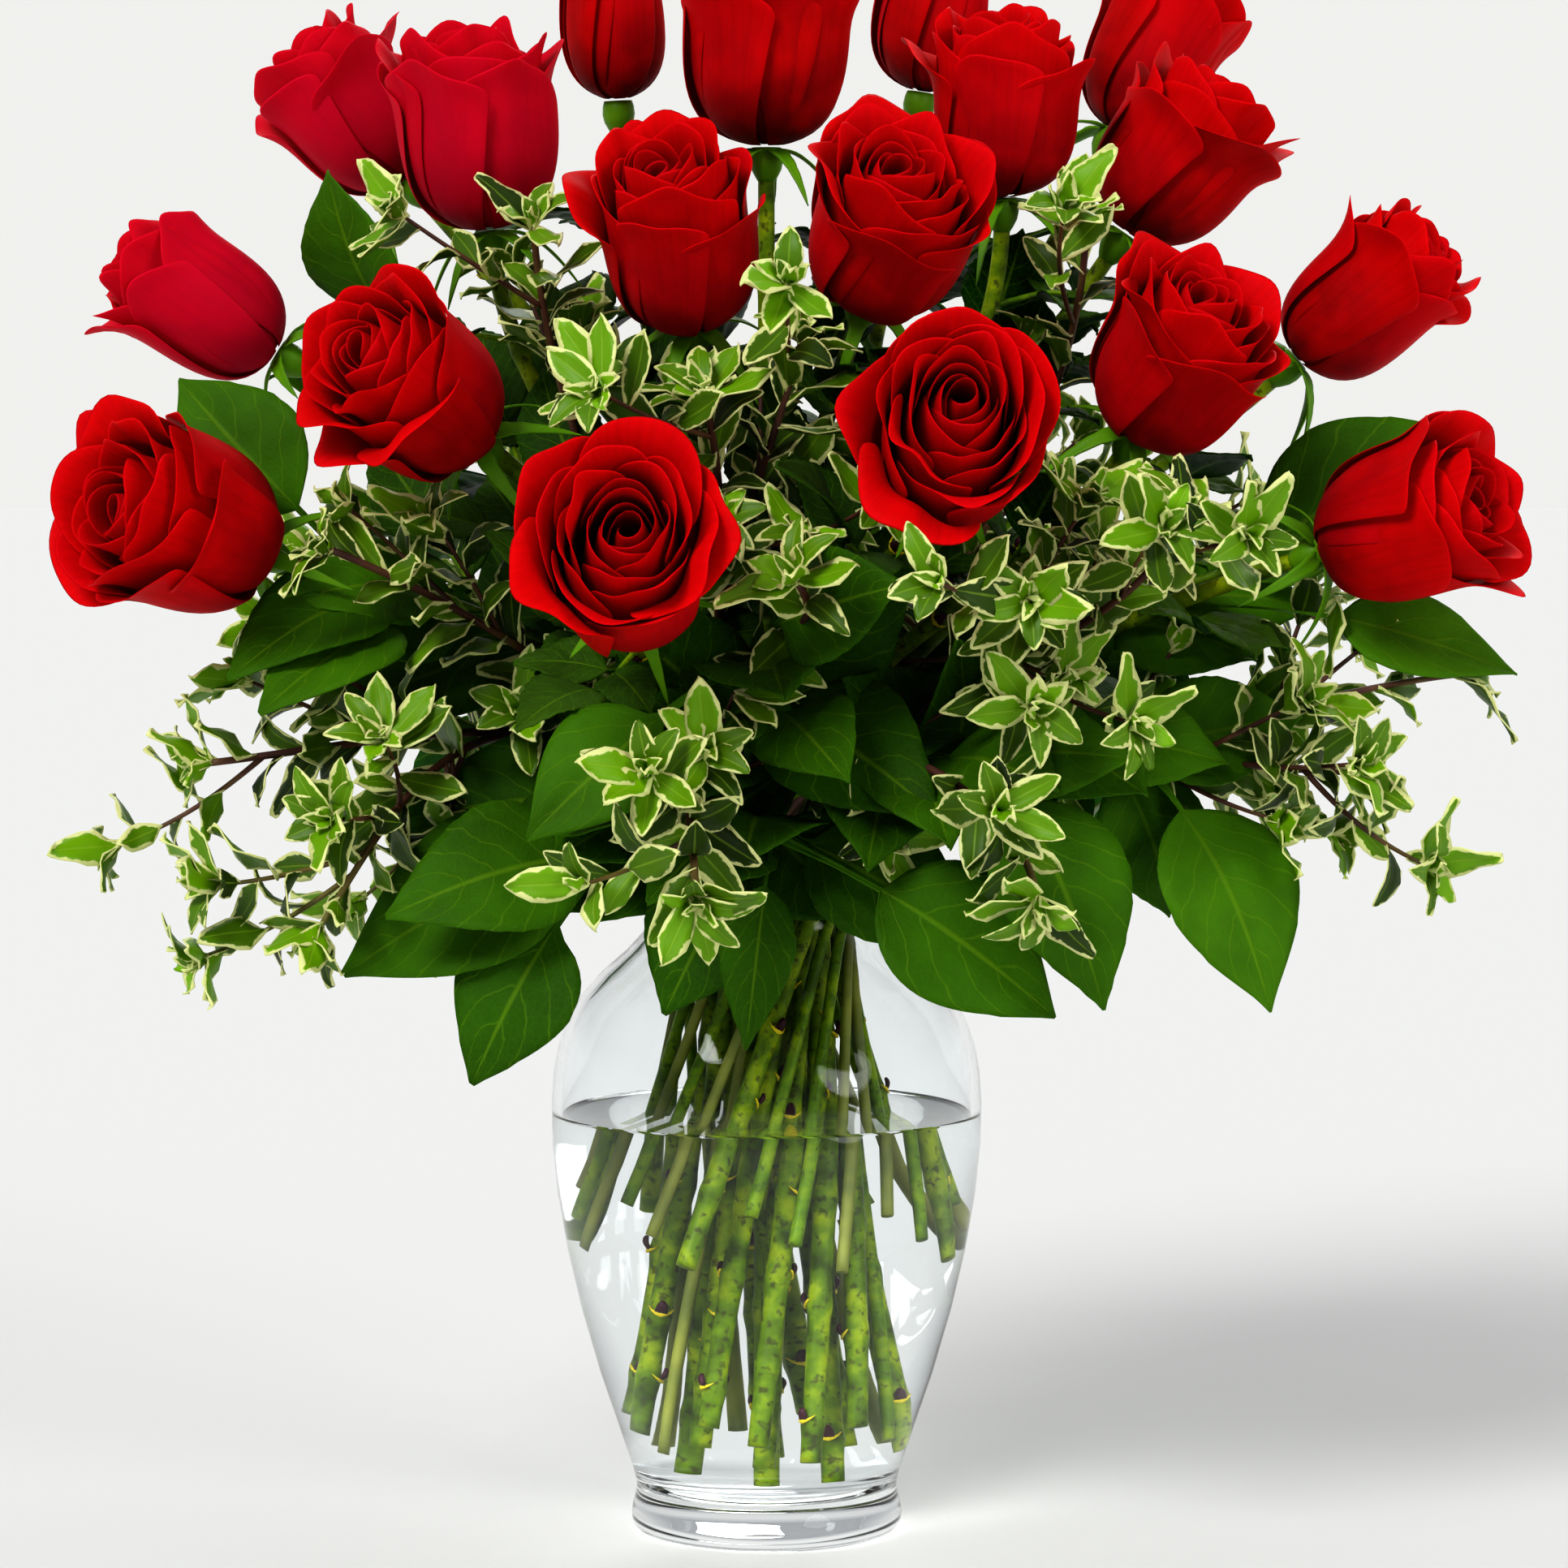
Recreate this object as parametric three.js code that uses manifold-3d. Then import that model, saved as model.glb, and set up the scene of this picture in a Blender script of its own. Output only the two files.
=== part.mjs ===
// Eighteen red roses in a clear glass vase, with lemon-leaf branches and variegated sprays.
// Millimetres, +Z up, X to the viewer's right, Y away from the viewer.
// The origin is the middle of the glass foot, on the table.
import * as THREE from 'three';
import { mergeVertices } from 'three/addons/utils/BufferGeometryUtils.js';
import Module from 'manifold-3d';

const wasm = await Module();
wasm.setup();

// Vase: outside from the middle of the foot up to the rim, then inside down to the floor.
const VASE_SIDES = 22;
const VASE_PROFILE = [
  [0, 0], [38, 0], [42, 5.5], [40.3, 15], [46, 33], [57.5, 70], [64.8, 106], [66.5, 134],
  [64.6, 151], [57.5, 167], [43.5, 181], [35.4, 193], [45, 206.5],
  [42.6, 207.5], [32.4, 193.5], [41, 179], [54.8, 165], [62.6, 146],
  [62.6, 112], [54.3, 70], [41, 28], [27, 14], [0, 13],
];
// Water: 0.3 mm clear of the glass, up to its level.
const WATER_PROFILE = [
  [0, 13.4], [26.7, 14.4], [40.5, 28.1], [53.8, 70.1], [62.1, 112], [62.1, 130], [0, 130],
];
const WATER_LEVEL = 130;
const CLEAR = 0.35;

// The stems stand in four rings through the neck, each ring leaning its own way round. They
// are cut unevenly: each ends up to the ring's vary above its bottom.
const NECK = 192;
const EXIT = 205;
const RINGS = [
  { radius: 0, lean: 0, bottom: 17, vary: 0 },
  { radius: 8.5, lean: 6, bottom: 17, vary: 18 },
  { radius: 17, lean: 9.4, bottom: 25, vary: 16 },
  { radius: 25.5, lean: 22, bottom: 84, vary: 24 },
];
const ROSE_STEM = 3;
const ROSE_SIDES = 5;
const LEAF_STEM = 1.9;
const LEAF_SIDES = 3;
const ROSE_STEPS = 6;
const LEAF_STEPS = 6;
const HIP_LENGTH = 9;
// Where a spray forks, as a share of its length above the vase.
const FORK = 0.45;
const FORK_STEPS = 4;

// Roses: ring, middle of the bloom, the way it faces, widest size, length, openness, turn.
const ROSES = [
  [3, [-173, -70, 314], [-0.7, -0.62, 0.3], 70, 62, 1, 10],
  [2, [-175, 0, 380], [-0.8, -0.15, 0.5], 56, 58, 0.72, 40],
  [2, [-132, 60, 442], [-0.65, 0.1, 0.75], 54, 56, 1.1, 75],
  [1, [-89, 5, 434], [-0.12, -0.15, 0.98], 67, 64, 0.8, 20],
  [2, [-103, -80, 352], [-0.55, -0.62, 0.45], 61, 58, 1, 55],
  [3, [-40, -140, 305], [-0.05, -0.9, 0.4], 65, 62, 1, 0],
  [1, [-26, -55, 398], [-0.12, -0.55, 0.82], 62, 62, 0.85, 30],
  [1, [-49, 75, 474], [-0.05, -0.1, 0.99], 40, 54, 0.1, 64],
  [0, [0, 15, 461], [0, -0.1, 0.99], 72, 65, 0.75, 12],
  [1, [37, -60, 400], [0.25, -0.65, 0.7], 65, 57, 1, 48],
  [2, [52, -135, 338], [0.05, -0.93, 0.35], 63, 60, 1.05, 25],
  [1, [54, 85, 477], [0.15, 0, 0.98], 44, 54, 0.15, 5],
  [1, [73, 10, 441], [0, -0.2, 0.97], 62, 57, 0.8, 35],
  [2, [125, 85, 463], [0.45, 0.1, 0.88], 54, 57, 0.9, 60],
  [2, [128, 25, 426], [0.55, -0.1, 0.8], 61, 57, 1, 15],
  [2, [122, -60, 361], [0.4, -0.55, 0.72], 63, 57, 1, 68],
  [2, [184, -5, 382], [0.72, -0.2, 0.65], 55, 58, 0.8, 33],
  [3, [189, -75, 314], [0.8, -0.45, 0.3], 62, 58, 0.95, 50],
];

// Lemon-leaf branches: ring, tip of the stem, the way it points there, then each leaf
// as its place along the stem, its tip, its width, its arch and the length of its blade.
const LEMON = [
  ['right_low', 3, [112, -66, 243], [0.7, -0.4, -0.2],
    [[1, [148, -84, 170], 46, 0.12, 64], [0.86, [162, -52, 208], 30, 0.1, 50]]],
  ['front_right', 3, [70, -92, 240], [0.4, -0.7, -0.2],
    [[1, [97, -116, 174], 42, 0.1, 66], [0.86, [114, -90, 186], 34, 0.1, 52]]],
  ['front', 3, [2, -86, 222], [0, -0.9, -0.2],
    [[1, [84, -98, 170], 44, 0.12, 62], [0.94, [-6, -102, 161], 22, 0.08, 48],
      [0.84, [-30, -90, 170], 38, 0.1, 46], [0.74, [62, -82, 190], 40, 0.08, 58]]],
  ['front_left', 3, [-50, -84, 216], [-0.6, -0.7, -0.2],
    [[1, [-110, -106, 200], 42, 0.12, 62], [0.9, [-86, -94, 150], 40, 0.12, 50],
      [0.8, [-126, -82, 184], 36, 0.1, 66]]],
  ['middle', 3, [0, -92, 286], [0.1, -0.8, 0.4],
    [[1, [88, -108, 276], 46, 0.08, 68], [0.9, [-68, -128, 224], 36, 0.12, 50],
      [0.8, [54, -112, 212], 42, 0.1, 58], [0.7, [16, -126, 238], 32, 0.1, 50]]],
  ['left', 3, [-124, -42, 300], [-0.8, -0.3, 0.3],
    [[1, [-178, -22, 356], 40, 0.1, 56], [0.88, [-172, -64, 262], 38, 0.1, 62],
      [0.78, [-148, -86, 258], 36, 0.1, 56]]],
  ['right', 3, [138, -30, 298], [0.8, -0.2, 0.3],
    [[1, [204, -26, 340], 46, 0.1, 72], [0.9, [160, -80, 290], 36, 0.1, 46],
      [0.8, [224, -52, 268], 30, 0.1, 54]]],
  ['top_left', 2, [-112, 14, 370], [-0.3, 0, 0.9],
    [[1, [-134, -6, 420], 38, 0.1, 48], [0.86, [-138, 62, 376], 36, 0.12, 56],
      [0.72, [-58, 60, 392], 34, 0.1, 56]]],
  ['back_left', 3, [-66, 84, 262], [-0.5, 0.7, 0],
    [[1, [-112, 112, 196], 44, 0.12, 64], [0.9, [-44, 126, 190], 42, 0.12, 62],
      [0.8, [-134, 84, 268], 40, 0.12, 62], [0.7, [-64, 98, 330], 38, 0.1, 60]]],
  ['back_right', 3, [66, 84, 262], [0.5, 0.7, 0],
    [[1, [112, 110, 194], 44, 0.12, 64], [0.9, [34, 128, 192], 42, 0.12, 62],
      [0.8, [136, 82, 272], 40, 0.12, 62], [0.7, [52, 104, 332], 38, 0.1, 60]]],
];

// Variegated sprays: ring, then each twig as its tip, the way it points there and its leaves.
// The first twig runs from the vase. Any other forks off it part way along.
const SPRAYS = [
  ['left', 3, [[-166, -62, 242], [-0.95, -0.2, -0.1], 6], [[-130, -92, 196], [-0.5, -0.3, -0.8], 5]],
  ['left_mid', 3, [[-128, -84, 306], [-0.7, -0.4, 0.5], 7]],
  ['front', 3, [[-20, -156, 210], [0, -0.8, -0.6], 8]],
  ['front_mid', 2, [[8, -132, 298], [-0.1, -0.5, 0.85], 7]],
  ['right_mid', 3, [[120, -108, 316], [0.3, -0.4, 0.85], 6], [[74, -142, 292], [0, -0.9, -0.1], 5]],
  ['front_right', 3, [[76, -146, 208], [0.05, -0.5, -0.85], 8]],
  ['right', 3, [[174, -72, 240], [0.95, -0.2, 0], 5], [[208, -52, 268], [0.95, -0.1, 0.1], 5]],
  ['top_left', 2, [[-70, -34, 402], [-0.2, -0.3, 0.95], 7]],
  ['top_mid', 2, [[-18, -96, 350], [-0.2, -0.5, 0.8], 5], [[10, -72, 366], [0.2, -0.3, 0.9], 5]],
  ['top_right', 2, [[96, -34, 402], [0.1, -0.2, 0.97], 7]],
  ['back_left', 3, [[-84, 112, 336], [-0.3, 0.5, 0.8], 5], [[-140, 78, 296], [-0.8, 0.4, 0.2], 4]],
  ['back_right', 3, [[84, 118, 336], [0.3, 0.5, 0.8], 5], [[142, 74, 300], [0.8, 0.4, 0.2], 4]],
];
const SPRAY_LEAF = 32;
const SPRAY_WIDTH = 13.5;

// Petal sections as cubic Bezier points (radius, height) for a bloom 64 wide and 60 long.
const PETAL_INNER = [[3, 3], [14, 8], [10, 40], [3.5, 60]];
const PETAL_BUD = [[4, 0], [24, 4], [19, 40], [9, 59]];
const PETAL_OPEN = [[4, 0], [34, 4], [23, 40], [31, 58]];
// Rings of petals in a bloom: share of the way out, number, half width, spiral step, roll.
const PETAL_RINGS = [
  { out: 0.45, count: 3, half: 56, step: 1.3, roll: 0.15, across: 2 },
  { out: 1, count: 5, half: 50, step: 1.5, roll: 1, across: 3 },
];
const PETAL_ROWS = [0.38, 0.75, 1];
const PETAL_HALF = 0.5;
const BLADE_HALF = 0.45;
const GRID = 0.01;

// ---------------------------------------------------------------- shapes

const vec = (p) => new THREE.Vector3(...p);
const rad = (degrees) => degrees * Math.PI / 180;
const mix = (a, b, t) => a + (b - a) * t;

// An even draw from 0 to 1 that depends only on its two whole numbers.
function draw(a, b) {
  let s = (a * 7919 + b * 104729 + 17) % 2147483647;
  s = s * 16807 % 2147483647;
  s = s * 16807 % 2147483647;
  return s / 2147483647;
}

// A closed mesh as a solid, turned outward if its faces point in.
function toSolid(positions, index) {
  let volume = 0;
  for (let i = 0; i < index.length; i += 3) {
    const [a, b, c] = [0, 1, 2].map((k) => new THREE.Vector3().fromArray(positions, 3 * index[i + k]));
    volume += a.dot(b.cross(c));
  }
  const faces = Uint32Array.from(index);
  if (volume < 0) faces.reverse();
  return new wasm.Manifold(new wasm.Mesh({
    numProp: 3, vertProperties: Float32Array.from(positions), triVerts: faces,
  }));
}

function geometrySolid(geometry) {
  geometry.deleteAttribute('normal');
  geometry.deleteAttribute('uv');
  const merged = mergeVertices(geometry, 1e-4);
  return toSolid(merged.attributes.position.array, merged.index.array);
}

// Turned about the Z axis from (radius, height) points.
function turned(profile, sides) {
  const points = profile.map(([r, z]) => new THREE.Vector2(r, z));
  const lathe = new THREE.LatheGeometry(points, sides);
  lathe.rotateX(Math.PI / 2);
  return geometrySolid(lathe);
}

// A round stick of a few sides along a path.
function stick(path, radius, sides, steps) {
  const outline = new THREE.Shape();
  for (let k = 0; k < sides; k += 1) {
    const a = 2 * Math.PI * k / sides;
    const corner = [radius * Math.cos(a), radius * Math.sin(a)];
    if (k) outline.lineTo(...corner);
    else outline.moveTo(...corner);
  }
  return geometrySolid(new THREE.ExtrudeGeometry(outline, {
    steps, bevelEnabled: false, extrudePath: path,
  }));
}

// A thin closed blade on rows of middle points. The first row is one point, and the last is
// one point or a rim. Both faces meet along the edge and are split into triangles alike.
function blade(rows, half) {
  const last = rows.length - 1;
  const across = rows[1].length - 1;
  const at = (j, i) => (rows[j].length === 1 ? rows[j][0] : rows[j][i]);
  const positions = [];
  const ids = rows.map((row, j) => row.map((point, i) => {
    const id = positions.length / 3;
    if (j === 0 || j === last || i === 0 || i === across) {
      positions.push(...point.toArray());
      return [id, id];
    }
    const wide = row[i + 1].clone().sub(row[i - 1]);
    const long = at(j + 1, i).clone().sub(at(j - 1, i));
    const lift = wide.cross(long).setLength(half);
    positions.push(...point.clone().add(lift).toArray());
    positions.push(...point.clone().sub(lift).toArray());
    return [id, id + 1];
  }));
  const index = [];
  const face = (corners) => {
    const [a, b, c] = corners.map(([j, i]) => ids[j][ids[j].length === 1 ? 0 : i]);
    index.push(a[0], b[0], c[0], c[1], b[1], a[1]);
  };
  for (let i = 0; i < across; i += 1) {
    face([[0, 0], [1, i + 1], [1, i]]);
    for (let j = 1; j < last; j += 1) {
      const low = i < across / 2 ? [j, i + 1] : [j, i];
      const high = i < across / 2 ? [j + 1, i] : [j + 1, i + 1];
      if (rows[j + 1].length === 1) {
        face([[j, i], [j, i + 1], [j + 1, 0]]);
      } else if (i < across / 2) {
        face([[j, i], low, high]);
        face([low, [j + 1, i + 1], high]);
      } else {
        face([low, [j, i + 1], high]);
        face([low, high, [j + 1, i]]);
      }
    }
  }
  return toSolid(positions, index);
}

function meshGeometry(solid) {
  const mesh = solid.getMesh();
  const geometry = new THREE.BufferGeometry();
  geometry.setAttribute('position', new THREE.BufferAttribute(mesh.vertProperties, 3));
  geometry.setIndex(new THREE.BufferAttribute(mesh.triVerts, 1));
  return geometry;
}

// One solid from overlapping ones: corners settle on a fine grid, so that those that all but
// meet become one, loose scraps go and sealed hollows are filled.
function fuse(solids) {
  const whole = solids.reduce((sum, solid) => sum.add(solid));
  const geometry = meshGeometry(whole);
  geometry.attributes.position.array.forEach((v, i, all) => {
    all[i] = Math.round(v / GRID) * GRID;
  });
  const merged = mergeVertices(geometry, GRID / 4);
  const bodies = toSolid(merged.attributes.position.array, merged.index.array).decompose();
  return bodies.reduce((best, body) => (body.volume() > best.volume() ? body : best));
}

// Whether every edge has two faces once equal corners are one, so that nothing touches itself.
function isSound(solid) {
  const merged = mergeVertices(meshGeometry(solid), GRID / 4);
  const edges = new Map();
  const index = merged.index.array;
  for (let i = 0; i < index.length; i += 3) {
    for (let k = 0; k < 3; k += 1) {
      const [a, b] = [index[i + k], index[i + (k + 1) % 3]];
      if (a === b) return false;
      const key = Math.min(a, b) * 1e6 + Math.max(a, b);
      edges.set(key, (edges.get(key) ?? 0) + 1);
    }
  }
  return [...edges.values()].every((count) => count === 2);
}

// Fuses on each of the extra solids that leaves the whole sound.
function grow(base, extras) {
  return extras.reduce((whole, extra) => {
    const next = fuse([whole, extra]);
    return isSound(next) ? next : whole;
  }, base);
}

// ---------------------------------------------------------------- petals and leaves

function bezier(points, t) {
  const s = 1 - t;
  const w = [s * s * s, 3 * s * s * t, 3 * s * t * t, t * t * t];
  return points[0].map((_, k) => points.reduce((sum, p, i) => sum + w[i] * p[k], 0));
}

// A point of a petal: u runs across from -1 to 1 and t from the base to the rim.
function petalPoint(section, petal, u, t) {
  const s = t * (1 - 0.15 * Math.abs(u) ** 3);
  const [radius, height] = bezier(section, s);
  const curl = petal.roll * (Math.max(0, s - 0.68) / 0.32) ** 2 * (0.4 + 0.8 * u * u);
  const wide = 0.5 + 0.5 * Math.min(1, s / 0.75);
  const r = radius + 4.5 * curl + petal.step * u * Math.min(1, s / 0.3);
  const a = petal.turn + petal.half * u * wide;
  return new THREE.Vector3(r * Math.cos(a), r * Math.sin(a), height - 5 * curl);
}

// A bloom along +Z from its flat base: a closed heart and rings of petals round it.
function bloomSolid(open, turn) {
  const outer = PETAL_OPEN.map((p, i) => p.map((v, k) => mix(PETAL_BUD[i][k], v, open)));
  const heart = turned([[0, 0], [4.4, 0], [9.5, 9], [9.5, 32], [0, 56]], 5)
    .rotate([0, 0, turn - 18]);
  const petals = [];
  PETAL_RINGS.forEach((ring, level) => {
    const section = outer.map((p, i) => p.map((v, k) => mix(PETAL_INNER[i][k], v, ring.out)));
    for (let k = 0; k < ring.count; k += 1) {
      const petal = {
        turn: rad(turn + 31 * level + 360 * k / ring.count), half: rad(ring.half),
        step: ring.step, roll: ring.roll * Math.min(1, open),
      };
      const rows = PETAL_ROWS.map((t) => {
        const row = [];
        for (let i = 0; i <= ring.across; i += 1) {
          row.push(petalPoint(section, petal, 2 * i / ring.across - 1, t));
        }
        return row;
      });
      const root = new THREE.Vector3(2 * Math.cos(petal.turn), 2 * Math.sin(petal.turn), 3);
      petals.push(blade([[root], ...rows], PETAL_HALF));
    }
  });
  return fuse([heart, ...petals]);
}

// A leaf from its root to its tip. Its edge follows a width rule, and it arches, folds along
// the middle rib and waves.
function leafSolid(leaf, half) {
  const along = leaf.tip.clone().sub(leaf.root);
  const length = along.length();
  along.normalize();
  const up = leaf.up.clone().addScaledVector(along, -leaf.up.dot(along)).normalize();
  const side = up.clone().cross(along);
  const point = (u, t) => {
    const reach = leaf.width / 2 * leaf.edge(t, leaf.stalk);
    const wave = leaf.wave * Math.sin(9 * t + 1.5 * u) * Math.abs(u);
    const rise = leaf.arch * length * Math.sin(Math.PI * t) + leaf.fold * reach * Math.abs(u) + wave;
    return leaf.root.clone().addScaledVector(along, length * t)
      .addScaledVector(side, reach * u).addScaledVector(up, rise);
  };
  const rows = leaf.rows.map((t) => [-1, 0, 1].map((u) => point(u, t)));
  return blade([[leaf.root], ...rows, [leaf.tip]], half);
}

// Width rules, as a share of the greatest half width. A lemon leaf starts with a thin stalk.
function lemonEdge(t, stalk) {
  const v = Math.max(0, (t - stalk) / (1 - stalk));
  return Math.max(0.05, Math.sin(Math.PI * v ** 0.72) ** 0.85 * (1 - 0.25 * v ** 6));
}

function sprayEdge(t) {
  return Math.sin(Math.PI * t ** 0.85) ** 0.8;
}

// ---------------------------------------------------------------- layout

// The straight lower part of a stem at a height, for its ring and its place round the neck.
function ringPoint(ring, place, z) {
  const { radius, lean } = RINGS[ring];
  const slide = (z - NECK) * Math.tan(rad(lean));
  return new THREE.Vector3(
    radius * Math.cos(place) - slide * Math.sin(place),
    radius * Math.sin(place) + slide * Math.cos(place),
    z,
  );
}

// Each stem gets its place round its ring in the order in which the heads stand round the vase.
function placeStems(stems) {
  RINGS.forEach(({ bottom, vary }, ring) => {
    const members = stems.filter((stem) => stem.ring === ring);
    members.forEach((stem) => {
      stem.head = Math.atan2(stem.top.y, stem.top.x) - Math.PI / 2;
    });
    members.sort((a, b) => a.head - b.head);
    const pitch = 2 * Math.PI / members.length;
    let x = 0;
    let y = 0;
    members.forEach((stem, k) => {
      x += Math.cos(stem.head - k * pitch);
      y += Math.sin(stem.head - k * pitch);
    });
    const start = Math.atan2(y, x);
    members.forEach((stem, k) => {
      stem.place = start + k * pitch;
      stem.bottom = ringPoint(ring, stem.place, bottom + vary * draw(k, 70 + ring));
    });
  });
}

// Ways that a stem can bend above the neck, from the plainest: how far it keeps its lean,
// how far it follows its end direction, and how far it swings aside and up.
const BENDS = [];
for (const swing of [0, 12, -12, 24, -24, 36, -36, 50, -50]) {
  for (const rise of [0, 14, -14, 28]) {
    for (const [keep, follow] of [[0.35, 0.3], [0.5, 0.25], [0.22, 0.35]]) {
      BENDS.push({ keep, follow, swing, rise });
    }
  }
}

function stemPath(stem, bend) {
  const exit = ringPoint(stem.ring, stem.place, EXIT);
  const start = exit.clone().sub(stem.bottom).normalize();
  const span = exit.distanceTo(stem.top);
  const aside = new THREE.Vector3(-stem.top.y, stem.top.x, 0);
  aside.setLength(bend.swing);
  const first = exit.clone().addScaledVector(start, bend.keep * span);
  const second = stem.top.clone().addScaledVector(stem.end, -bend.follow * span).add(aside);
  second.z += bend.rise;
  const path = new THREE.CurvePath();
  path.add(new THREE.LineCurve3(stem.bottom, exit));
  path.add(new THREE.CubicBezierCurve3(exit, first, second, stem.top));
  return path;
}

// ---------------------------------------------------------------- building

const group = new THREE.Group();
// Every solid set so far, with the name of its node.
const placed = [];

function boxGap(a, b) {
  return Math.max(...[0, 1, 2].map((k) => Math.max(a.min[k] - b.max[k], b.min[k] - a.max[k])));
}

function place(owner, solid) {
  placed.push({ owner, solid, box: solid.boundingBox() });
}

// Whether a solid is clear of the other nodes' solids set so far and of the others given.
function isClear(solid, owner, others = []) {
  const box = solid.boundingBox();
  const near = placed.filter((item) => item.owner !== owner && boxGap(box, item.box) < 0);
  const solids = [...near.map((item) => item.solid), ...others];
  return solids.every((other) => solid.intersect(other).isEmpty());
}

function addNode(name, solid, colour, roughness, extra = {}) {
  const geometry = meshGeometry(solid);
  geometry.computeVertexNormals();
  const material = new THREE.MeshStandardMaterial({ color: colour, roughness, metalness: 0, ...extra });
  const node = new THREE.Mesh(geometry, material);
  node.name = name;
  group.add(node);
  place(name, solid);
}

// Turns a solid made along +Z to a direction and moves its origin to a place.
function seated(solid, origin, direction, scale) {
  const turn = new THREE.Quaternion().setFromUnitVectors(new THREE.Vector3(0, 0, 1), direction);
  const matrix = new THREE.Matrix4().compose(origin, turn, scale);
  return solid.transform(matrix.elements);
}

// All the stems, roses first, each with its top and the way it points there.
const roses = ROSES.map(([ring, middle, facing, width, length, open, turn], k) => {
  const end = vec(facing).normalize();
  const base = vec(middle).addScaledVector(end, -length / 2);
  const top = base.clone().addScaledVector(end, -HIP_LENGTH + 1);
  return { ring, top, end, base, width, length, open, turn, index: k, radius: ROSE_STEM };
});
const lemons = LEMON.map(([name, ring, tip, points, leaves]) => (
  { name: `lemon_leaf_${name}`, ring, top: vec(tip), end: vec(points).normalize(), leaves, radius: LEAF_STEM }));
const sprays = SPRAYS.map(([name, ring, main, ...forks]) => (
  { name: `spray_${name}`, ring, top: vec(main[0]), end: vec(main[1]).normalize(), leaves: main[2], forks,
    radius: LEAF_STEM }));
const stems = [...roses, ...lemons, ...sprays];
placeStems(stems);

// Vase and water.
addNode('vase', turned(VASE_PROFILE, VASE_SIDES), 0xdfe8ec, 0.05, { transparent: true, opacity: 0.35 });
let water = turned(WATER_PROFILE, VASE_SIDES);
stems.forEach((stem) => {
  const sides = stem.radius === ROSE_STEM ? ROSE_SIDES : LEAF_SIDES;
  const above = ringPoint(stem.ring, stem.place, WATER_LEVEL + 10);
  const along = above.clone().sub(stem.bottom).normalize();
  const hole = new THREE.LineCurve3(stem.bottom.clone().addScaledVector(along, -CLEAR), above);
  const radius = stem.radius + CLEAR / Math.cos(Math.PI / sides);
  water = water.subtract(stick(hole, radius, sides, 1));
});
addNode('water', water, 0xeef6f6, 0.02, { transparent: true, opacity: 0.3 });

// Blooms. Each is scaled from a bloom 64 wide and 60 long and stands 0.3 mm off its hip.
roses.forEach((rose) => {
  const wide = rose.width / (rose.open < 0.5 ? 44 : 64);
  const scale = new THREE.Vector3(wide, wide, rose.length / 60);
  const foot = rose.base.clone().addScaledVector(rose.end, 0.3);
  const solid = seated(bloomSolid(rose.open, rose.turn), foot, rose.end, scale);
  const name = `rose_${String(rose.index + 1).padStart(2, '0')}_bloom`;
  addNode(name, solid, 0xb80010, 0.6);
});

// Rose stems with their hips and sepals. Sepals hug a bud and bend back under an open bloom.
function sepalSolid(angle, hug, seed) {
  const length = mix(24, 30, draw(seed, 1));
  const out = new THREE.Vector3(Math.cos(angle), Math.sin(angle), 0);
  const side = new THREE.Vector3(-Math.sin(angle), Math.cos(angle), 0);
  const droop = mix(0.35, 0.95, draw(seed, 2));
  const spot = (t) => {
    const reach = hug ? 3.5 + 12.5 * Math.sin(2.2 * t) : 3.5 + length * 0.8 * t;
    const rise = hug ? -1.5 + 26 * t * t : -1.5 - length * droop * t * t;
    return out.clone().multiplyScalar(reach).setZ(rise);
  };
  const row = [-1, 0, 1].map((u) => spot(0.42).addScaledVector(side, 2.8 * u));
  return blade([[spot(0)], row, [spot(1)]], BLADE_HALF);
}

roses.forEach((rose) => {
  rose.name = `rose_${String(rose.index + 1).padStart(2, '0')}_stem`;
  rose.sides = ROSE_SIDES;
  rose.steps = ROSE_STEPS;
});
[...lemons, ...sprays].forEach((stem) => {
  stem.sides = LEAF_SIDES;
  stem.steps = LEAF_STEPS;
});

// Every stem takes the first way that is clear of what stands already.
stems.forEach((stem) => {
  const paths = BENDS.map((bend) => () => stemPath(stem, bend));
  const clear = paths.find((path) => (
    isClear(stick(path(), stem.radius + CLEAR, stem.sides, stem.steps), stem.name)));
  stem.path = (clear ?? paths[0])();
  stem.parts = [stick(stem.path, stem.radius, stem.sides, stem.steps)];
  place(stem.name, stem.parts[0]);
});

// Forks leave their twig part way along, as clear of everything as the stems are.
sprays.forEach((spray) => {
  const main = spray.path.curves[1];
  const root = main.getPointAt(FORK);
  spray.twigs = [main];
  spray.forks.forEach(([tip, points]) => {
    const end = vec(points).normalize();
    const span = root.distanceTo(vec(tip));
    const curves = BENDS.map(({ keep, follow, swing, rise }) => () => {
      const first = root.clone().addScaledVector(main.getTangentAt(FORK), keep * span);
      const second = vec(tip).addScaledVector(end, -follow * span);
      second.add(vec([swing, 0, rise]));
      return new THREE.CubicBezierCurve3(root, first, second, vec(tip));
    });
    const clear = curves.find((curve) => (
      isClear(stick(curve(), LEAF_STEM + CLEAR, LEAF_SIDES, FORK_STEPS), spray.name)));
    const curve = (clear ?? curves[0])();
    spray.twigs.push(curve);
    spray.parts.push(stick(curve, LEAF_STEM - 0.3, LEAF_SIDES, FORK_STEPS));
    place(spray.name, spray.parts.at(-1));
  });
});

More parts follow.
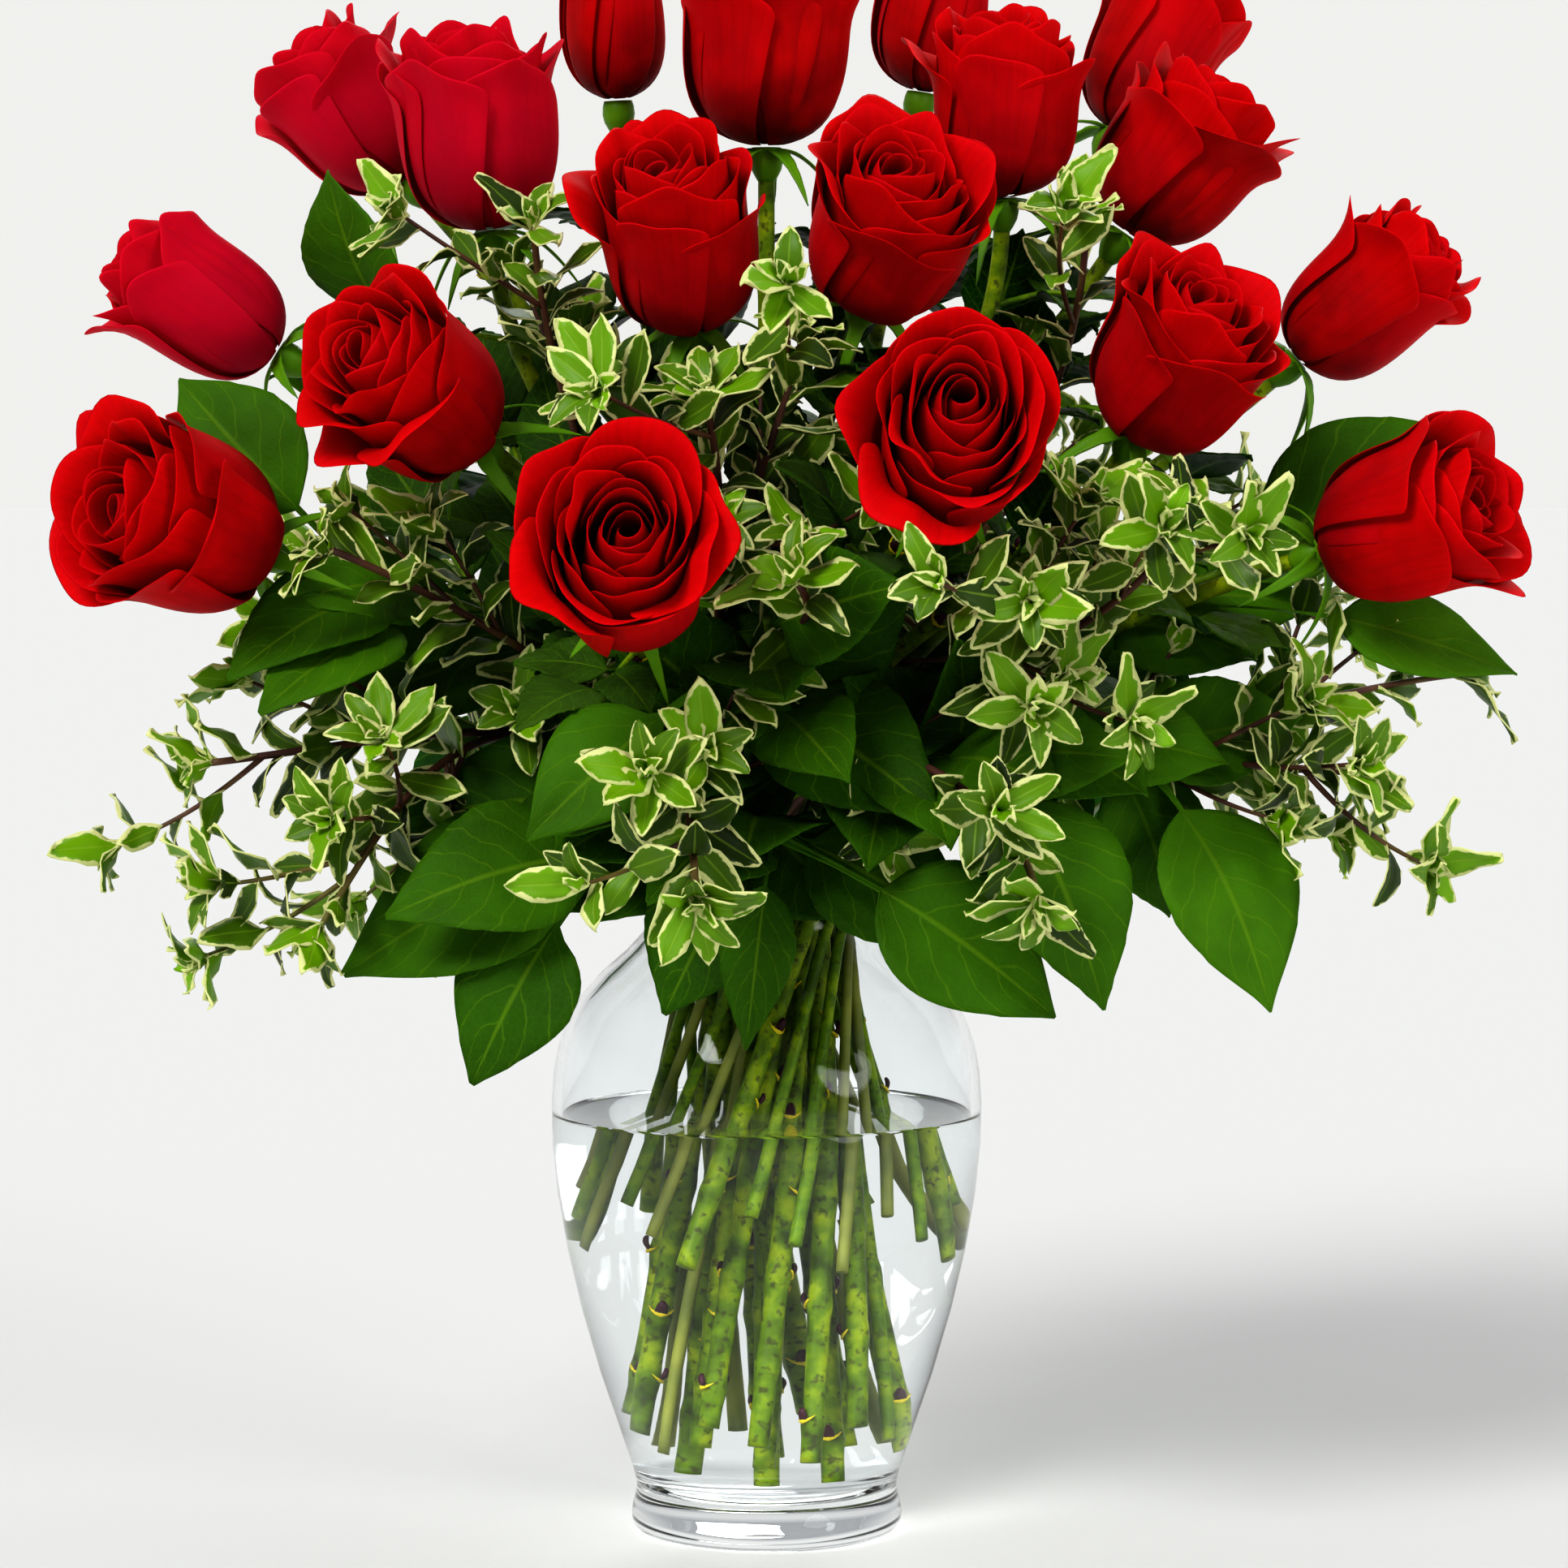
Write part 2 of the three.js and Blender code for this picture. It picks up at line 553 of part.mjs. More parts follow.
// Hips and sepals: a sepal that would cross another node is left off.
roses.forEach((rose) => {
  const hip = turned([[0, -HIP_LENGTH - 2], [5.2, -4.5], [4.6, 0], [0, 0]], 5)
    .rotate([0, 0, rose.turn - 18]);
  const unit = new THREE.Vector3(1, 1, 1);
  rose.parts.push(seated(hip, rose.base, rose.end, unit));
  const sepals = [];
  for (let k = 0; k < 5; k += 1) {
    const sepal = sepalSolid(rad(rose.turn + 72 * k), rose.open < 0.5, rose.index * 5 + k);
    const solid = seated(sepal, rose.base, rose.end, unit);
    if (isClear(solid, rose.name)) sepals.push(solid);
  }
  addNode(rose.name, grow(fuse(rose.parts), sepals), 0x5f7d1a, 0.55);
});

// Each leaf takes the first of its positions that is clear. A leaf that finds none is left off.
function leafyNode(name, parts, leaves, colour) {
  const own = [];
  let whole = fuse(parts);
  leaves.forEach((choices) => {
    for (const leaf of choices) {
      const solid = leafSolid(leaf, BLADE_HALF);
      const next = isClear(leafSolid(leaf, BLADE_HALF + CLEAR), name, own) && fuse([whole, solid]);
      if (next && isSound(next)) {
        whole = next;
        own.push(solid);
        return;
      }
    }
  });
  addNode(name, whole, colour, 0.45);
}

// The way a lemon leaf's top faces: outward and up, and more to the front in the front half.
function leafFacing(tip) {
  const out = new THREE.Vector3(tip.x, tip.y, 0).normalize();
  return new THREE.Vector3(0.5 * out.x, out.y - (tip.y < 0 ? 0.5 : 0), 0.45);
}

// A lemon leaf keeps its root and moves its tip by up to 20 mm to stay clear.
const LEMON_SHIFTS = [vec([0, 0, 0])];
for (const far of [10, 20]) {
  for (let k = 0; k < 8; k += 1) {
    const a = 2 * Math.PI * k / 8;
    LEMON_SHIFTS.push(vec([far * Math.cos(a), -far * Math.sin(a), 0.4 * far * Math.sin(a)]));
  }
}

lemons.forEach((branch) => {
  const leaves = branch.leaves.map(([share, tip, width, arch, blade]) => LEMON_SHIFTS.map((shift) => {
    const end = vec(tip).add(shift);
    const root = branch.path.curves[1].getPoint(Math.min(share, 0.99));
    const stalk = Math.max(0.08, 1 - blade / root.distanceTo(end));
    return {
      root, tip: end, width, arch, stalk, fold: 0.12, wave: 1, edge: lemonEdge, up: leafFacing(end),
      rows: [0.02, 0.3, 0.68].map((v) => mix(stalk, 1, v)),
    };
  }));
  leafyNode(branch.name, branch.parts, leaves, 0x3d7a12);
});

// The leaves of a twig stand out all round it, smaller towards the tip.
function twigLeaves(curve, count, seed, from) {
  const leaves = [];
  for (let k = 0; k < count; k += 1) {
    const share = mix(from, 0.985, k / (count - 1));
    const root = curve.getPointAt(share);
    const along = curve.getTangentAt(share);
    const flat = new THREE.Vector3(0, 0, 1).cross(along).normalize();
    const across = along.clone().cross(flat);
    const size = SPRAY_LEAF * mix(0.82, 1.08, draw(seed, k)) * mix(1, 0.8, (share - from) / (1 - from));
    const choices = [];
    for (const open of [56, 38, 74]) {
      for (let j = 0; j < 8; j += 1) {
        const a = rad(137.5 * k + 360 * draw(seed, 99) + 45 * j * (j % 2 ? 1 : -1));
        const aside = flat.clone().multiplyScalar(Math.cos(a)).addScaledVector(across, Math.sin(a));
        const way = along.clone().multiplyScalar(Math.cos(rad(open)));
        way.addScaledVector(aside, Math.sin(rad(open)));
        choices.push({
          root, tip: root.clone().addScaledVector(way, size), width: SPRAY_WIDTH * size / SPRAY_LEAF,
          arch: 0.07, fold: 0.2, wave: 1.3, edge: sprayEdge, up: along, rows: [0.3, 0.68],
        });
      }
    }
    leaves.push(choices);
  }
  return leaves;
}

sprays.forEach((spray, index) => {
  const counts = [spray.leaves, ...spray.forks.map((fork) => fork[2])];
  const leaves = spray.twigs.flatMap((curve, twig) => {
    const from = twig ? 0.3 : spray.forks.length ? 0.55 : 0.42;
    return twigLeaves(curve, counts[twig], index * 3 + twig, from);
  });
  leafyNode(spray.name, spray.parts, leaves, 0x7d9a3a);
});

export default group;
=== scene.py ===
"""Eighteen red roses in a clear glass vase, with lemon-leaf branches and variegated sprays.

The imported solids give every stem, leaf and bloom its place. This script makes the fine pieces
that stand for them: layered petals, veined and toothed leaves, marked stems, glass and water.
"""

import math
from functools import partial
from types import SimpleNamespace as Record

import bmesh
import bpy
import numpy as np
from mathutils import Matrix, Vector
from mathutils.kdtree import KDTree


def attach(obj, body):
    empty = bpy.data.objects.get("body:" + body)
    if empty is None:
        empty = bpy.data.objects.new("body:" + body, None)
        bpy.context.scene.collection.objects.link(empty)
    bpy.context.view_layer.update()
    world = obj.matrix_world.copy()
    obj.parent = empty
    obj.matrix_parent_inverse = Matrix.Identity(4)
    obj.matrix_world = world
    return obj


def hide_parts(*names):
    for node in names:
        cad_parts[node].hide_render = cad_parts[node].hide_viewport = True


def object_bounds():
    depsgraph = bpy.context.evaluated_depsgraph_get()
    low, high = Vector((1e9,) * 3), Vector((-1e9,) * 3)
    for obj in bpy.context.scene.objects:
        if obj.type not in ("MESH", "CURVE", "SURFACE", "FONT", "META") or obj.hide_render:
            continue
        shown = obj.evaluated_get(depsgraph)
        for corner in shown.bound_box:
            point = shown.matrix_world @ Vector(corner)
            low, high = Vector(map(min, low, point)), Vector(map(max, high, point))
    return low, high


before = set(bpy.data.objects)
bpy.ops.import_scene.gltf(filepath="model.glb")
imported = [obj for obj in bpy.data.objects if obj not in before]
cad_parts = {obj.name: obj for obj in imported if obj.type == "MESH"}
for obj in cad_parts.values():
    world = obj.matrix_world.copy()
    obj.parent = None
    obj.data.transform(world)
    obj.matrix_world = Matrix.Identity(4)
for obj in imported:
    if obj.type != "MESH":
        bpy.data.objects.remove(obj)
cad_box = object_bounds()
MM = 0.001
UP = Vector((0, 0, 1))


def add_object(name, data):
    made = bpy.data.objects.new(name, data)
    bpy.context.scene.collection.objects.link(made)
    return made


def aim(thing, place, target):
    """Puts a camera or a lamp at a place and turns it to a target, both in metres."""
    thing.location = place
    thing.rotation_euler = (Vector(target) - Vector(place)).to_track_quat("-Z", "Y").to_euler()


# --- camera, as in the photograph

camera = add_object("camera", bpy.data.cameras.new("camera"))
aim(camera, Vector((0, -1600, 330)) * MM, Vector((5.4, 0, 232)) * MM)
camera.data.sensor_width = 36
camera.data.lens = 119.25
camera.data.clip_end = 50
bpy.context.scene.camera = camera

# --- sizes and places, millimetres

# Heights of the vase's neck, where stems cross, and of its mouth, above which they bend.
NECK = 192
EXIT = 205
# Rings of stems: radius in the neck, lean, height of the lowest cut end, and how far they vary.
RINGS = [(0, 0, 17, 0), (8.5, 6, 17, 18), (17, 9.4, 25, 16), (25.5, 22, 84, 24)]
WATER_LEVEL = 130
# Radii of the solids' stems, and how many lengths each is made of.
ROSE_STEM = 3
LEAF_STEM = 1.9
ROSE_STEPS = 6
LEAF_STEPS = 6
FORK_STEPS = 4
# Where a spray forks, as a share of its length above the mouth.
FORK = 0.45
HIP_LENGTH = 9

# Roses: ring, middle of the bloom, the way it faces, widest size, length, openness, turn.
ROSES = [
    (3, (-173, -70, 314), (-0.7, -0.62, 0.3), 70, 62, 1, 10),
    (2, (-175, 0, 380), (-0.8, -0.15, 0.5), 56, 58, 0.72, 40),
    (2, (-132, 60, 442), (-0.65, 0.1, 0.75), 54, 56, 1.1, 75),
    (1, (-89, 5, 434), (-0.12, -0.15, 0.98), 67, 64, 0.8, 20),
    (2, (-103, -80, 352), (-0.55, -0.62, 0.45), 61, 58, 1, 55),
    (3, (-40, -140, 305), (-0.05, -0.9, 0.4), 65, 62, 1, 0),
    (1, (-26, -55, 398), (-0.12, -0.55, 0.82), 62, 62, 0.85, 30),
    (1, (-49, 75, 474), (-0.05, -0.1, 0.99), 40, 54, 0.1, 64),
    (0, (0, 15, 461), (0, -0.1, 0.99), 72, 65, 0.75, 12),
    (1, (37, -60, 400), (0.25, -0.65, 0.7), 65, 57, 1, 48),
    (2, (52, -135, 338), (0.05, -0.93, 0.35), 63, 60, 1.05, 25),
    (1, (54, 85, 477), (0.15, 0, 0.98), 44, 54, 0.15, 5),
    (1, (73, 10, 441), (0, -0.2, 0.97), 62, 57, 0.8, 35),
    (2, (125, 85, 463), (0.45, 0.1, 0.88), 54, 57, 0.9, 60),
    (2, (128, 25, 426), (0.55, -0.1, 0.8), 61, 57, 1, 15),
    (2, (122, -60, 361), (0.4, -0.55, 0.72), 63, 57, 1, 68),
    (2, (184, -5, 382), (0.72, -0.2, 0.65), 55, 58, 0.8, 33),
    (3, (189, -75, 314), (0.8, -0.45, 0.3), 62, 58, 0.95, 50),
]

# The blooms at the upper left, counted from 0, which are pinker than the others: partly their outer petals'
# paler backs, partly a painted sheen of side light.
PINK_SHEEN_BLOOMS = (1, 2, 3)

# Lemon-leaf branches: ring, tip of the stem, the way it points there, then each leaf as its
# place along the stem, its tip, its width, its arch and the length of its blade.
LEMON = [
    ("right_low", 3, (112, -66, 243), (0.7, -0.4, -0.2),
     [(1, (148, -84, 170), 46, 0.12, 64), (0.86, (162, -52, 208), 30, 0.1, 50)]),
    ("front_right", 3, (70, -92, 240), (0.4, -0.7, -0.2),
     [(1, (97, -116, 174), 42, 0.1, 66), (0.86, (114, -90, 186), 34, 0.1, 52)]),
    ("front", 3, (2, -86, 222), (0, -0.9, -0.2),
     [(1, (84, -98, 170), 44, 0.12, 62), (0.94, (-6, -102, 161), 22, 0.08, 48),
      (0.84, (-30, -90, 170), 38, 0.1, 46), (0.74, (62, -82, 190), 40, 0.08, 58)]),
    ("front_left", 3, (-50, -84, 216), (-0.6, -0.7, -0.2),
     [(1, (-110, -106, 200), 42, 0.12, 62), (0.9, (-86, -94, 150), 40, 0.12, 50),
      (0.8, (-126, -82, 184), 36, 0.1, 66)]),
    ("middle", 3, (0, -92, 286), (0.1, -0.8, 0.4),
     [(1, (88, -108, 276), 46, 0.08, 68), (0.9, (-68, -128, 224), 36, 0.12, 50),
      (0.8, (54, -112, 212), 42, 0.1, 58), (0.7, (16, -126, 238), 32, 0.1, 50)]),
    ("left", 3, (-124, -42, 300), (-0.8, -0.3, 0.3),
     [(1, (-178, -22, 356), 40, 0.1, 56), (0.88, (-172, -64, 262), 38, 0.1, 62),
      (0.78, (-148, -86, 258), 36, 0.1, 56)]),
    ("right", 3, (138, -30, 298), (0.8, -0.2, 0.3),
     [(1, (204, -26, 340), 46, 0.1, 72), (0.9, (160, -80, 290), 36, 0.1, 46),
      (0.8, (224, -52, 268), 30, 0.1, 54)]),
    ("top_left", 2, (-112, 14, 370), (-0.3, 0, 0.9),
     [(1, (-134, -6, 420), 38, 0.1, 48), (0.86, (-138, 62, 376), 36, 0.12, 56),
      (0.72, (-58, 60, 392), 34, 0.1, 56)]),
    ("back_left", 3, (-66, 84, 262), (-0.5, 0.7, 0),
     [(1, (-112, 112, 196), 44, 0.12, 64), (0.9, (-44, 126, 190), 42, 0.12, 62),
      (0.8, (-134, 84, 268), 40, 0.12, 62), (0.7, (-64, 98, 330), 38, 0.1, 60)]),
    ("back_right", 3, (66, 84, 262), (0.5, 0.7, 0),
     [(1, (112, 110, 194), 44, 0.12, 64), (0.9, (34, 128, 192), 42, 0.12, 62),
      (0.8, (136, 82, 272), 40, 0.12, 62), (0.7, (52, 104, 332), 38, 0.1, 60)]),
]

# Variegated sprays: ring, then each twig as its tip, the way it points there and its leaves.
SPRAYS = [
    ("left", 3, ((-166, -62, 242), (-0.95, -0.2, -0.1), 6), ((-130, -92, 196), (-0.5, -0.3, -0.8), 5)),
    ("left_mid", 3, ((-128, -84, 306), (-0.7, -0.4, 0.5), 7)),
    ("front", 3, ((-20, -156, 210), (0, -0.8, -0.6), 8)),
    ("front_mid", 2, ((8, -132, 298), (-0.1, -0.5, 0.85), 7)),
    ("right_mid", 3, ((120, -108, 316), (0.3, -0.4, 0.85), 6), ((74, -142, 292), (0, -0.9, -0.1), 5)),
    ("front_right", 3, ((76, -146, 208), (0.05, -0.5, -0.85), 8)),
    ("right", 3, ((174, -72, 240), (0.95, -0.2, 0), 5), ((208, -52, 268), (0.95, -0.1, 0.1), 5)),
    ("top_left", 2, ((-70, -34, 402), (-0.2, -0.3, 0.95), 7)),
    ("top_mid", 2, ((-18, -96, 350), (-0.2, -0.5, 0.8), 5), ((10, -72, 366), (0.2, -0.3, 0.9), 5)),
    ("top_right", 2, ((96, -34, 402), (0.1, -0.2, 0.97), 7)),
    ("back_left", 3, ((-84, 112, 336), (-0.3, 0.5, 0.8), 5), ((-140, 78, 296), (-0.8, 0.4, 0.2), 4)),
    ("back_right", 3, ((84, 118, 336), (0.3, 0.5, 0.8), 5), ((142, 74, 300), (0.8, 0.4, 0.2), 4)),
]
# How long and how wide the solid's own leaves on the sprays are.
SPRAY_LEAF = 32
SPRAY_WIDTH = 13.5

# Petal sections as cubic Bezier points (radius, height) for a bloom 64 wide and 60 long.
PETAL_INNER = ((3, 3), (14, 8), (10, 40), (3.5, 60))
PETAL_BUD = ((4, 0), (24, 4), (19, 40), (9, 59))
PETAL_OPEN = ((4, 0), (33, 4), (23, 40), (28, 58))


def mix(a, b, t):
    return a + (b - a) * t


def draw(a, b):
    """An even draw from 0 to 1 that depends only on its two whole numbers."""
    s = (a * 7919 + b * 104729 + 17) % 2147483647
    s = s * 16807 % 2147483647
    s = s * 16807 % 2147483647
    return s / 2147483647


def unit(v):
    return Vector(v).normalized()


# --- curves


class Bend:
    """A cubic Bezier curve with a table of its length."""

    STEPS = 201

    def __init__(self, *points):
        self.points = np.array([list(p) for p in points], float)
        self.shares = np.linspace(0, 1, self.STEPS)
        runs = np.linalg.norm(np.diff(self.at(self.shares), axis=0), axis=1)
        self.lengths = np.concatenate([[0], np.cumsum(runs)])
        self.length = self.lengths[-1]

    def at(self, t):
        t = np.atleast_1d(t)[:, None]
        s = 1 - t
        a, b, c, d = self.points
        return s**3 * a + 3 * s * s * t * b + 3 * s * t * t * c + t**3 * d

    def share(self, u):
        return np.interp(u * self.length, self.lengths, self.shares)

    def point(self, t):
        return Vector(self.at(t)[0])

    def point_at(self, u):
        return self.point(self.share(u))

    def tangent_at(self, u):
        t = float(self.share(u))
        a, b = max(0, t - 1e-4), min(1, t + 1e-4)
        return (self.point(b) - self.point(a)).normalized()


class Path:
    """A stem: straight up through the neck, then bending to its head."""

    def __init__(self, bottom, leave, curve):
        self.bottom, self.leave, self.curve = bottom, leave, curve
        self.straight = (leave - bottom).length
        self.length = self.straight + curve.length

    def point_at(self, u):
        d = u * self.length
        if d <= self.straight:
            return self.bottom.lerp(self.leave, d / self.straight)
        return self.curve.point_at((d - self.straight) / self.curve.length)

    def tangent_at(self, u):
        a, b = max(0, u - 1e-3), min(1, u + 1e-3)
        return (self.point_at(b) - self.point_at(a)).normalized()


def ring_point(ring, place, z):
    radius, lean = RINGS[ring][:2]
    slide = (z - NECK) * math.tan(math.radians(lean))
    return Vector((radius * math.cos(place) - slide * math.sin(place),
                   radius * math.sin(place) + slide * math.cos(place), z))


def place_stems(stems):
    for ring, (_, _, bottom, vary) in enumerate(RINGS):
        members = [s for s in stems if s.ring == ring]
        for s in members:
            s.head = math.atan2(s.top.y, s.top.x) - math.pi / 2
        members.sort(key=lambda s: s.head)
        pitch = 2 * math.pi / len(members)
        x = sum(math.cos(s.head - k * pitch) for k, s in enumerate(members))
        y = sum(math.sin(s.head - k * pitch) for k, s in enumerate(members))
        for k, s in enumerate(members):
            s.place = math.atan2(y, x) + k * pitch
            s.bottom = ring_point(ring, s.place, bottom + vary * draw(k, 70 + ring))


BENDS = [(keep, follow, swing, rise)
         for swing in (0, 12, -12, 24, -24, 36, -36, 50, -50)
         for rise in (0, 14, -14, 28)
         for keep, follow in ((0.35, 0.3), (0.5, 0.25), (0.22, 0.35))]


def stem_path(stem, bend):
    keep, follow, swing, rise = bend
    leave = ring_point(stem.ring, stem.place, EXIT)
    start = (leave - stem.bottom).normalized()
    top = stem.top
    span = (top - leave).length
    aside = Vector((-top.y, top.x, 0)).normalized() * swing
    first = leave + start * (keep * span)
    second = top - stem.end * (follow * span) + aside + Vector((0, 0, rise))
    return Path(stem.bottom, leave, Bend(leave, first, second, top))


# --- what the solids hold

corners = {}
# A corner this near a leaf's tip is the leaf's own, in millimetres.
SAME = 0.05
# How many of the paths that fit best are compared by their leaves.
LIKELY_PATHS = 8


def nearest(name, point):
    """How far the nearest corner of a node's solid is from a point, in millimetres."""
    if name not in corners:
        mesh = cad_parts[name].data
        tree = KDTree(len(mesh.vertices))
        for i, v in enumerate(mesh.vertices):
            tree.insert(v.co / MM, i)
        tree.balance()
        corners[name] = tree
    return corners[name].find(point)[2]


def leaf_in(name, choices):
    """The first position whose tip the solid has, or None where the leaf was left off."""
    return next((leaf for leaf in choices if nearest(name, leaf.tip) < SAME), None)


def found_leaves(name, leaves):
    """Of each leaf's positions the one that the solid has, without the leaves left off."""
    return [leaf for leaf in (leaf_in(name, choices) for choices in leaves) if leaf]


def best_path(name, paths, radius, steps, leaves=None):
    """The path, of those that the solid may follow, whose rings of corners the solid has. Where a
    leaf's foot hides some of them, the leaves tell."""
    spots = [k / steps for k in range(1, steps)]

    def misses(path):
        return sum(abs(nearest(name, path.point_at(u)) - radius) for u in spots)

    likely = sorted(paths, key=misses)[:LIKELY_PATHS]
    return max(likely, key=lambda path: len(found_leaves(name, leaves(path)))) if leaves else likely[0]


# --- sheets and tubes

# Each corner carries its tint, how far it is from the rim, and its mark. The tint is how fresh or pink a
# piece is, on petals partly painted sheen and on broad leaves painted shade; in a bloom's heart the mark is
# painted shade.
LAYERS = ("tint", "rim", "mark")
# How thick the thin pieces are, in millimetres.
PETAL_THICK = 0.45
SEPAL_THICK = 0.6
BROAD_LEAF_THICK = 0.55
SMALL_LEAF_THICK = 0.4
# How near corners merge, in metres.
MERGE = 1e-7


def new_bmesh():
    bm = bmesh.new()
    bm.loops.layers.uv.new("UVMap")
    for name in LAYERS:
        bm.verts.layers.float.new(name)
    return bm


def sheet(bm, across, along, place, tint=0.0, rim=None, mark=None):
    """A grid whose corners move to place(u, t), u from -1 to 1 across and t from 0 to 1 along."""
    uv = bm.loops.layers.uv.active
    tints, rims, marks = [bm.verts.layers.float[name] for name in LAYERS]
    verts = bmesh.ops.create_grid(bm, x_segments=across, y_segments=along, size=1.0)["verts"]
    spots = {}
    for v in verts:
        u, t = spots[v] = v.co.x, (v.co.y + 1) / 2
        v.co = place(u, t) * MM
        v[tints] = tint
        v[rims] = rim(u, t) if rim else 0.0
        v[marks] = mark(u, t) if mark else 0.0
    for face in {face for v in verts for face in v.link_faces}:
        face.smooth = True
        for loop in face.loops:
            u, t = spots[loop.vert]
            loop[uv].uv = ((u + 1) / 2, t)
    return verts


def tube(bm, path, radius, around, along, tint=0.0):
    """A round stem on a path. radius is a function of the share along it. Both ends close."""
    rows = []
    side = None
    for k in range(along + 1):
        tangent = path.tangent_at(k / along)
        if side is None:
            side = tangent.orthogonal().normalized()
        side = (side - tangent * side.dot(tangent)).normalized()
        rows.append((path.point_at(k / along), side.copy(), tangent.cross(side)))
    end = 0.5 / (along + 2)

    def place(u, t):
        # The first and last rows close the ends to their middles.
        k = int(round(min(max(t * (along + 2) - 1, 0), along)))
        centre, a, b = rows[k]
        r = radius(k / along) if end <= t <= 1 - end else 0
        angle = math.pi * (1 - u)
        return centre + (a * math.cos(angle) + b * math.sin(angle)) * r

    verts = sheet(bm, around, along + 2, place, tint)
    bmesh.ops.remove_doubles(bm, verts=verts, dist=MERGE)


def as_object(name, bm, materials):
    mesh = bpy.data.meshes.new(name)
    bm.to_mesh(mesh)
    bm.free()
    for material in materials:
        mesh.materials.append(material)
    return add_object(name, mesh)


def finish_piece(name, bm, materials, nodes, thickness=0.0, smooth=0):
    """The mesh becomes an object that rides on the body and stands for its nodes."""
    if not thickness:
        bmesh.ops.recalc_face_normals(bm, faces=bm.faces)
    piece = as_object(name, bm, materials)
    if thickness:
        wall = piece.modifiers.new("thickness", "SOLIDIFY")
        wall.thickness = thickness * MM
        wall.offset = -1
        wall.use_even_offset = False
    if smooth:
        soft = piece.modifiers.new("smooth", "SUBSURF")
        soft.levels = soft.render_levels = smooth
    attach(piece, "root")
    if nodes:
        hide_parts(*nodes)
    return piece


# --- materials

# A Mix node that mixes colours.
COLOUR = {"data_type": "RGBA"}
MULTIPLY = {"data_type": "RGBA", "blend_type": "MULTIPLY"}


def srgb(code):
    """An sRGB hex colour as linear red, green, blue and alpha."""
    parts = [int(code[i:i + 2], 16) / 255 for i in (1, 3, 5)]
    return tuple(c / 12.92 if c <= 0.04045 else ((c + 0.055) / 1.055) ** 2.4 for c in parts) + (1.0,)


def node(tree, kind, settings=None, links=None):
    """Adds a node with its settings, and links its inputs from sockets, or from other nodes' first
    outputs in use. The setting "stops" gives a colour ramp its places and colours."""
    made = tree.nodes.new("ShaderNode" + kind)
    for key, value in (settings or {}).items():
        if key == "stops":
            points = made.color_ramp.elements
            while len(points) < len(value):
                points.new(0.5)
            for point, (place, colour) in zip(points, value):
                point.position = place
                point.color = srgb(colour) if isinstance(colour, str) else (colour, colour, colour, 1)
        elif isinstance(key, str) and hasattr(made, key):
            setattr(made, key, value)
        else:
            made.inputs[key].default_value = srgb(value) if isinstance(value, str) else value
    for key, source in (links or {}).items():
        if isinstance(source, bpy.types.Node):
            source = next(socket for socket in source.outputs if socket.enabled)
        tree.links.new(source, made.inputs[key])
    return made


def new_material(name):
    material = bpy.data.materials.new(name)
    material.use_nodes = True
    material.node_tree.nodes.clear()
    return material, partial(node, material.node_tree)


def finish_material(material, settings, links=None):
    """Gives a material its shader."""
    shader = node(material.node_tree, "BsdfPrincipled", settings, links)
    node(material.node_tree, "OutputMaterial", links={"Surface": shader})
    return material


def petal_material():
    """Rose petal, velvety: soft light through thin tissue, a pale sheen at grazing angles and
    fine lengthwise streaks."""
    material, add = new_material("rose_petal_velvet")
    uv = add("UVMap", {"uv_map": "UVMap"})
    place = add("TexCoord").outputs["Object"]
    tint = add("Attribute", {"attribute_name": "tint"}).outputs["Fac"]
    # The mark is 1 in the heart, where little light reaches; there the red is darkened, which is painted
    # shade.
    heart = add("Attribute", {"attribute_name": "mark"}).outputs["Fac"]
    # Streaks are 2 mm wide on a petal of some 50, and clouds of brighter red 14 mm.
    stretch = add("Mapping", {"Scale": (26, 2.2, 1)}, {"Vector": uv})
    streak = add("TexNoise", {"Scale": 1.0, "Detail": 3.0}, {"Vector": stretch})
    streaks = add("ValToRGB", {"stops": [(0.3, 0.72), (0.62, 1.0)]}, {0: streak})
    cloud = add("TexNoise", {"Scale": 70.0, "Detail": 2.0}, {"Vector": place})
    clouds = add("ValToRGB", {"stops": [(0.42, 0.0), (0.72, 0.42)]}, {0: cloud})
    lengthwise = add("SeparateXYZ", links={0: uv}).outputs[1]
    # Painted shade: each petal is near black at its base, deep in the cup, and brightens along its length to
    # the rim.
    body = add("ValToRGB", {
        "stops": [(0.0, "#2A0002"), (0.45, "#960002"), (0.93, "#CC0003"), (1.0, "#DE0208")]}, {0: lengthwise})
    bright = add("Mix", {**COLOUR, "B": "#EA0004"}, {"Factor": clouds, "A": body})
    deep = add("Mix", {**MULTIPLY, "Factor": 0.5}, {"A": bright, "B": streaks})
    # Painted shade: the heart's petals are darkened towards #5A0008.
    dim = add("Mix", {**COLOUR, "B": "#5A0008"}, {"Factor": heart, "A": deep})
    # Partly painted sheen: the pink copies a magenta sheen on side-lit petal backs, partly the backs' own
    # paler colour.
    rosy_sheen = add("Mix", {**COLOUR, "B": "#D00838"}, {"Factor": tint, "A": dim})
    bump = add("Bump", {"Strength": 0.18, "Distance": 0.0006}, {"Height": streak})
    return finish_material(material, {
        "Roughness": 0.6, "Specular IOR Level": 0.04, "Subsurface Weight": 0.16,
        "Subsurface Radius": (1.0, 0.03, 0.02), "Subsurface Scale": 0.003, "Sheen Weight": 0.06,
        "Sheen Roughness": 0.4, "Sheen Tint": (1.0, 0.03, 0.04, 1.0),
    }, {"Base Color": rosy_sheen, "Normal": bump})


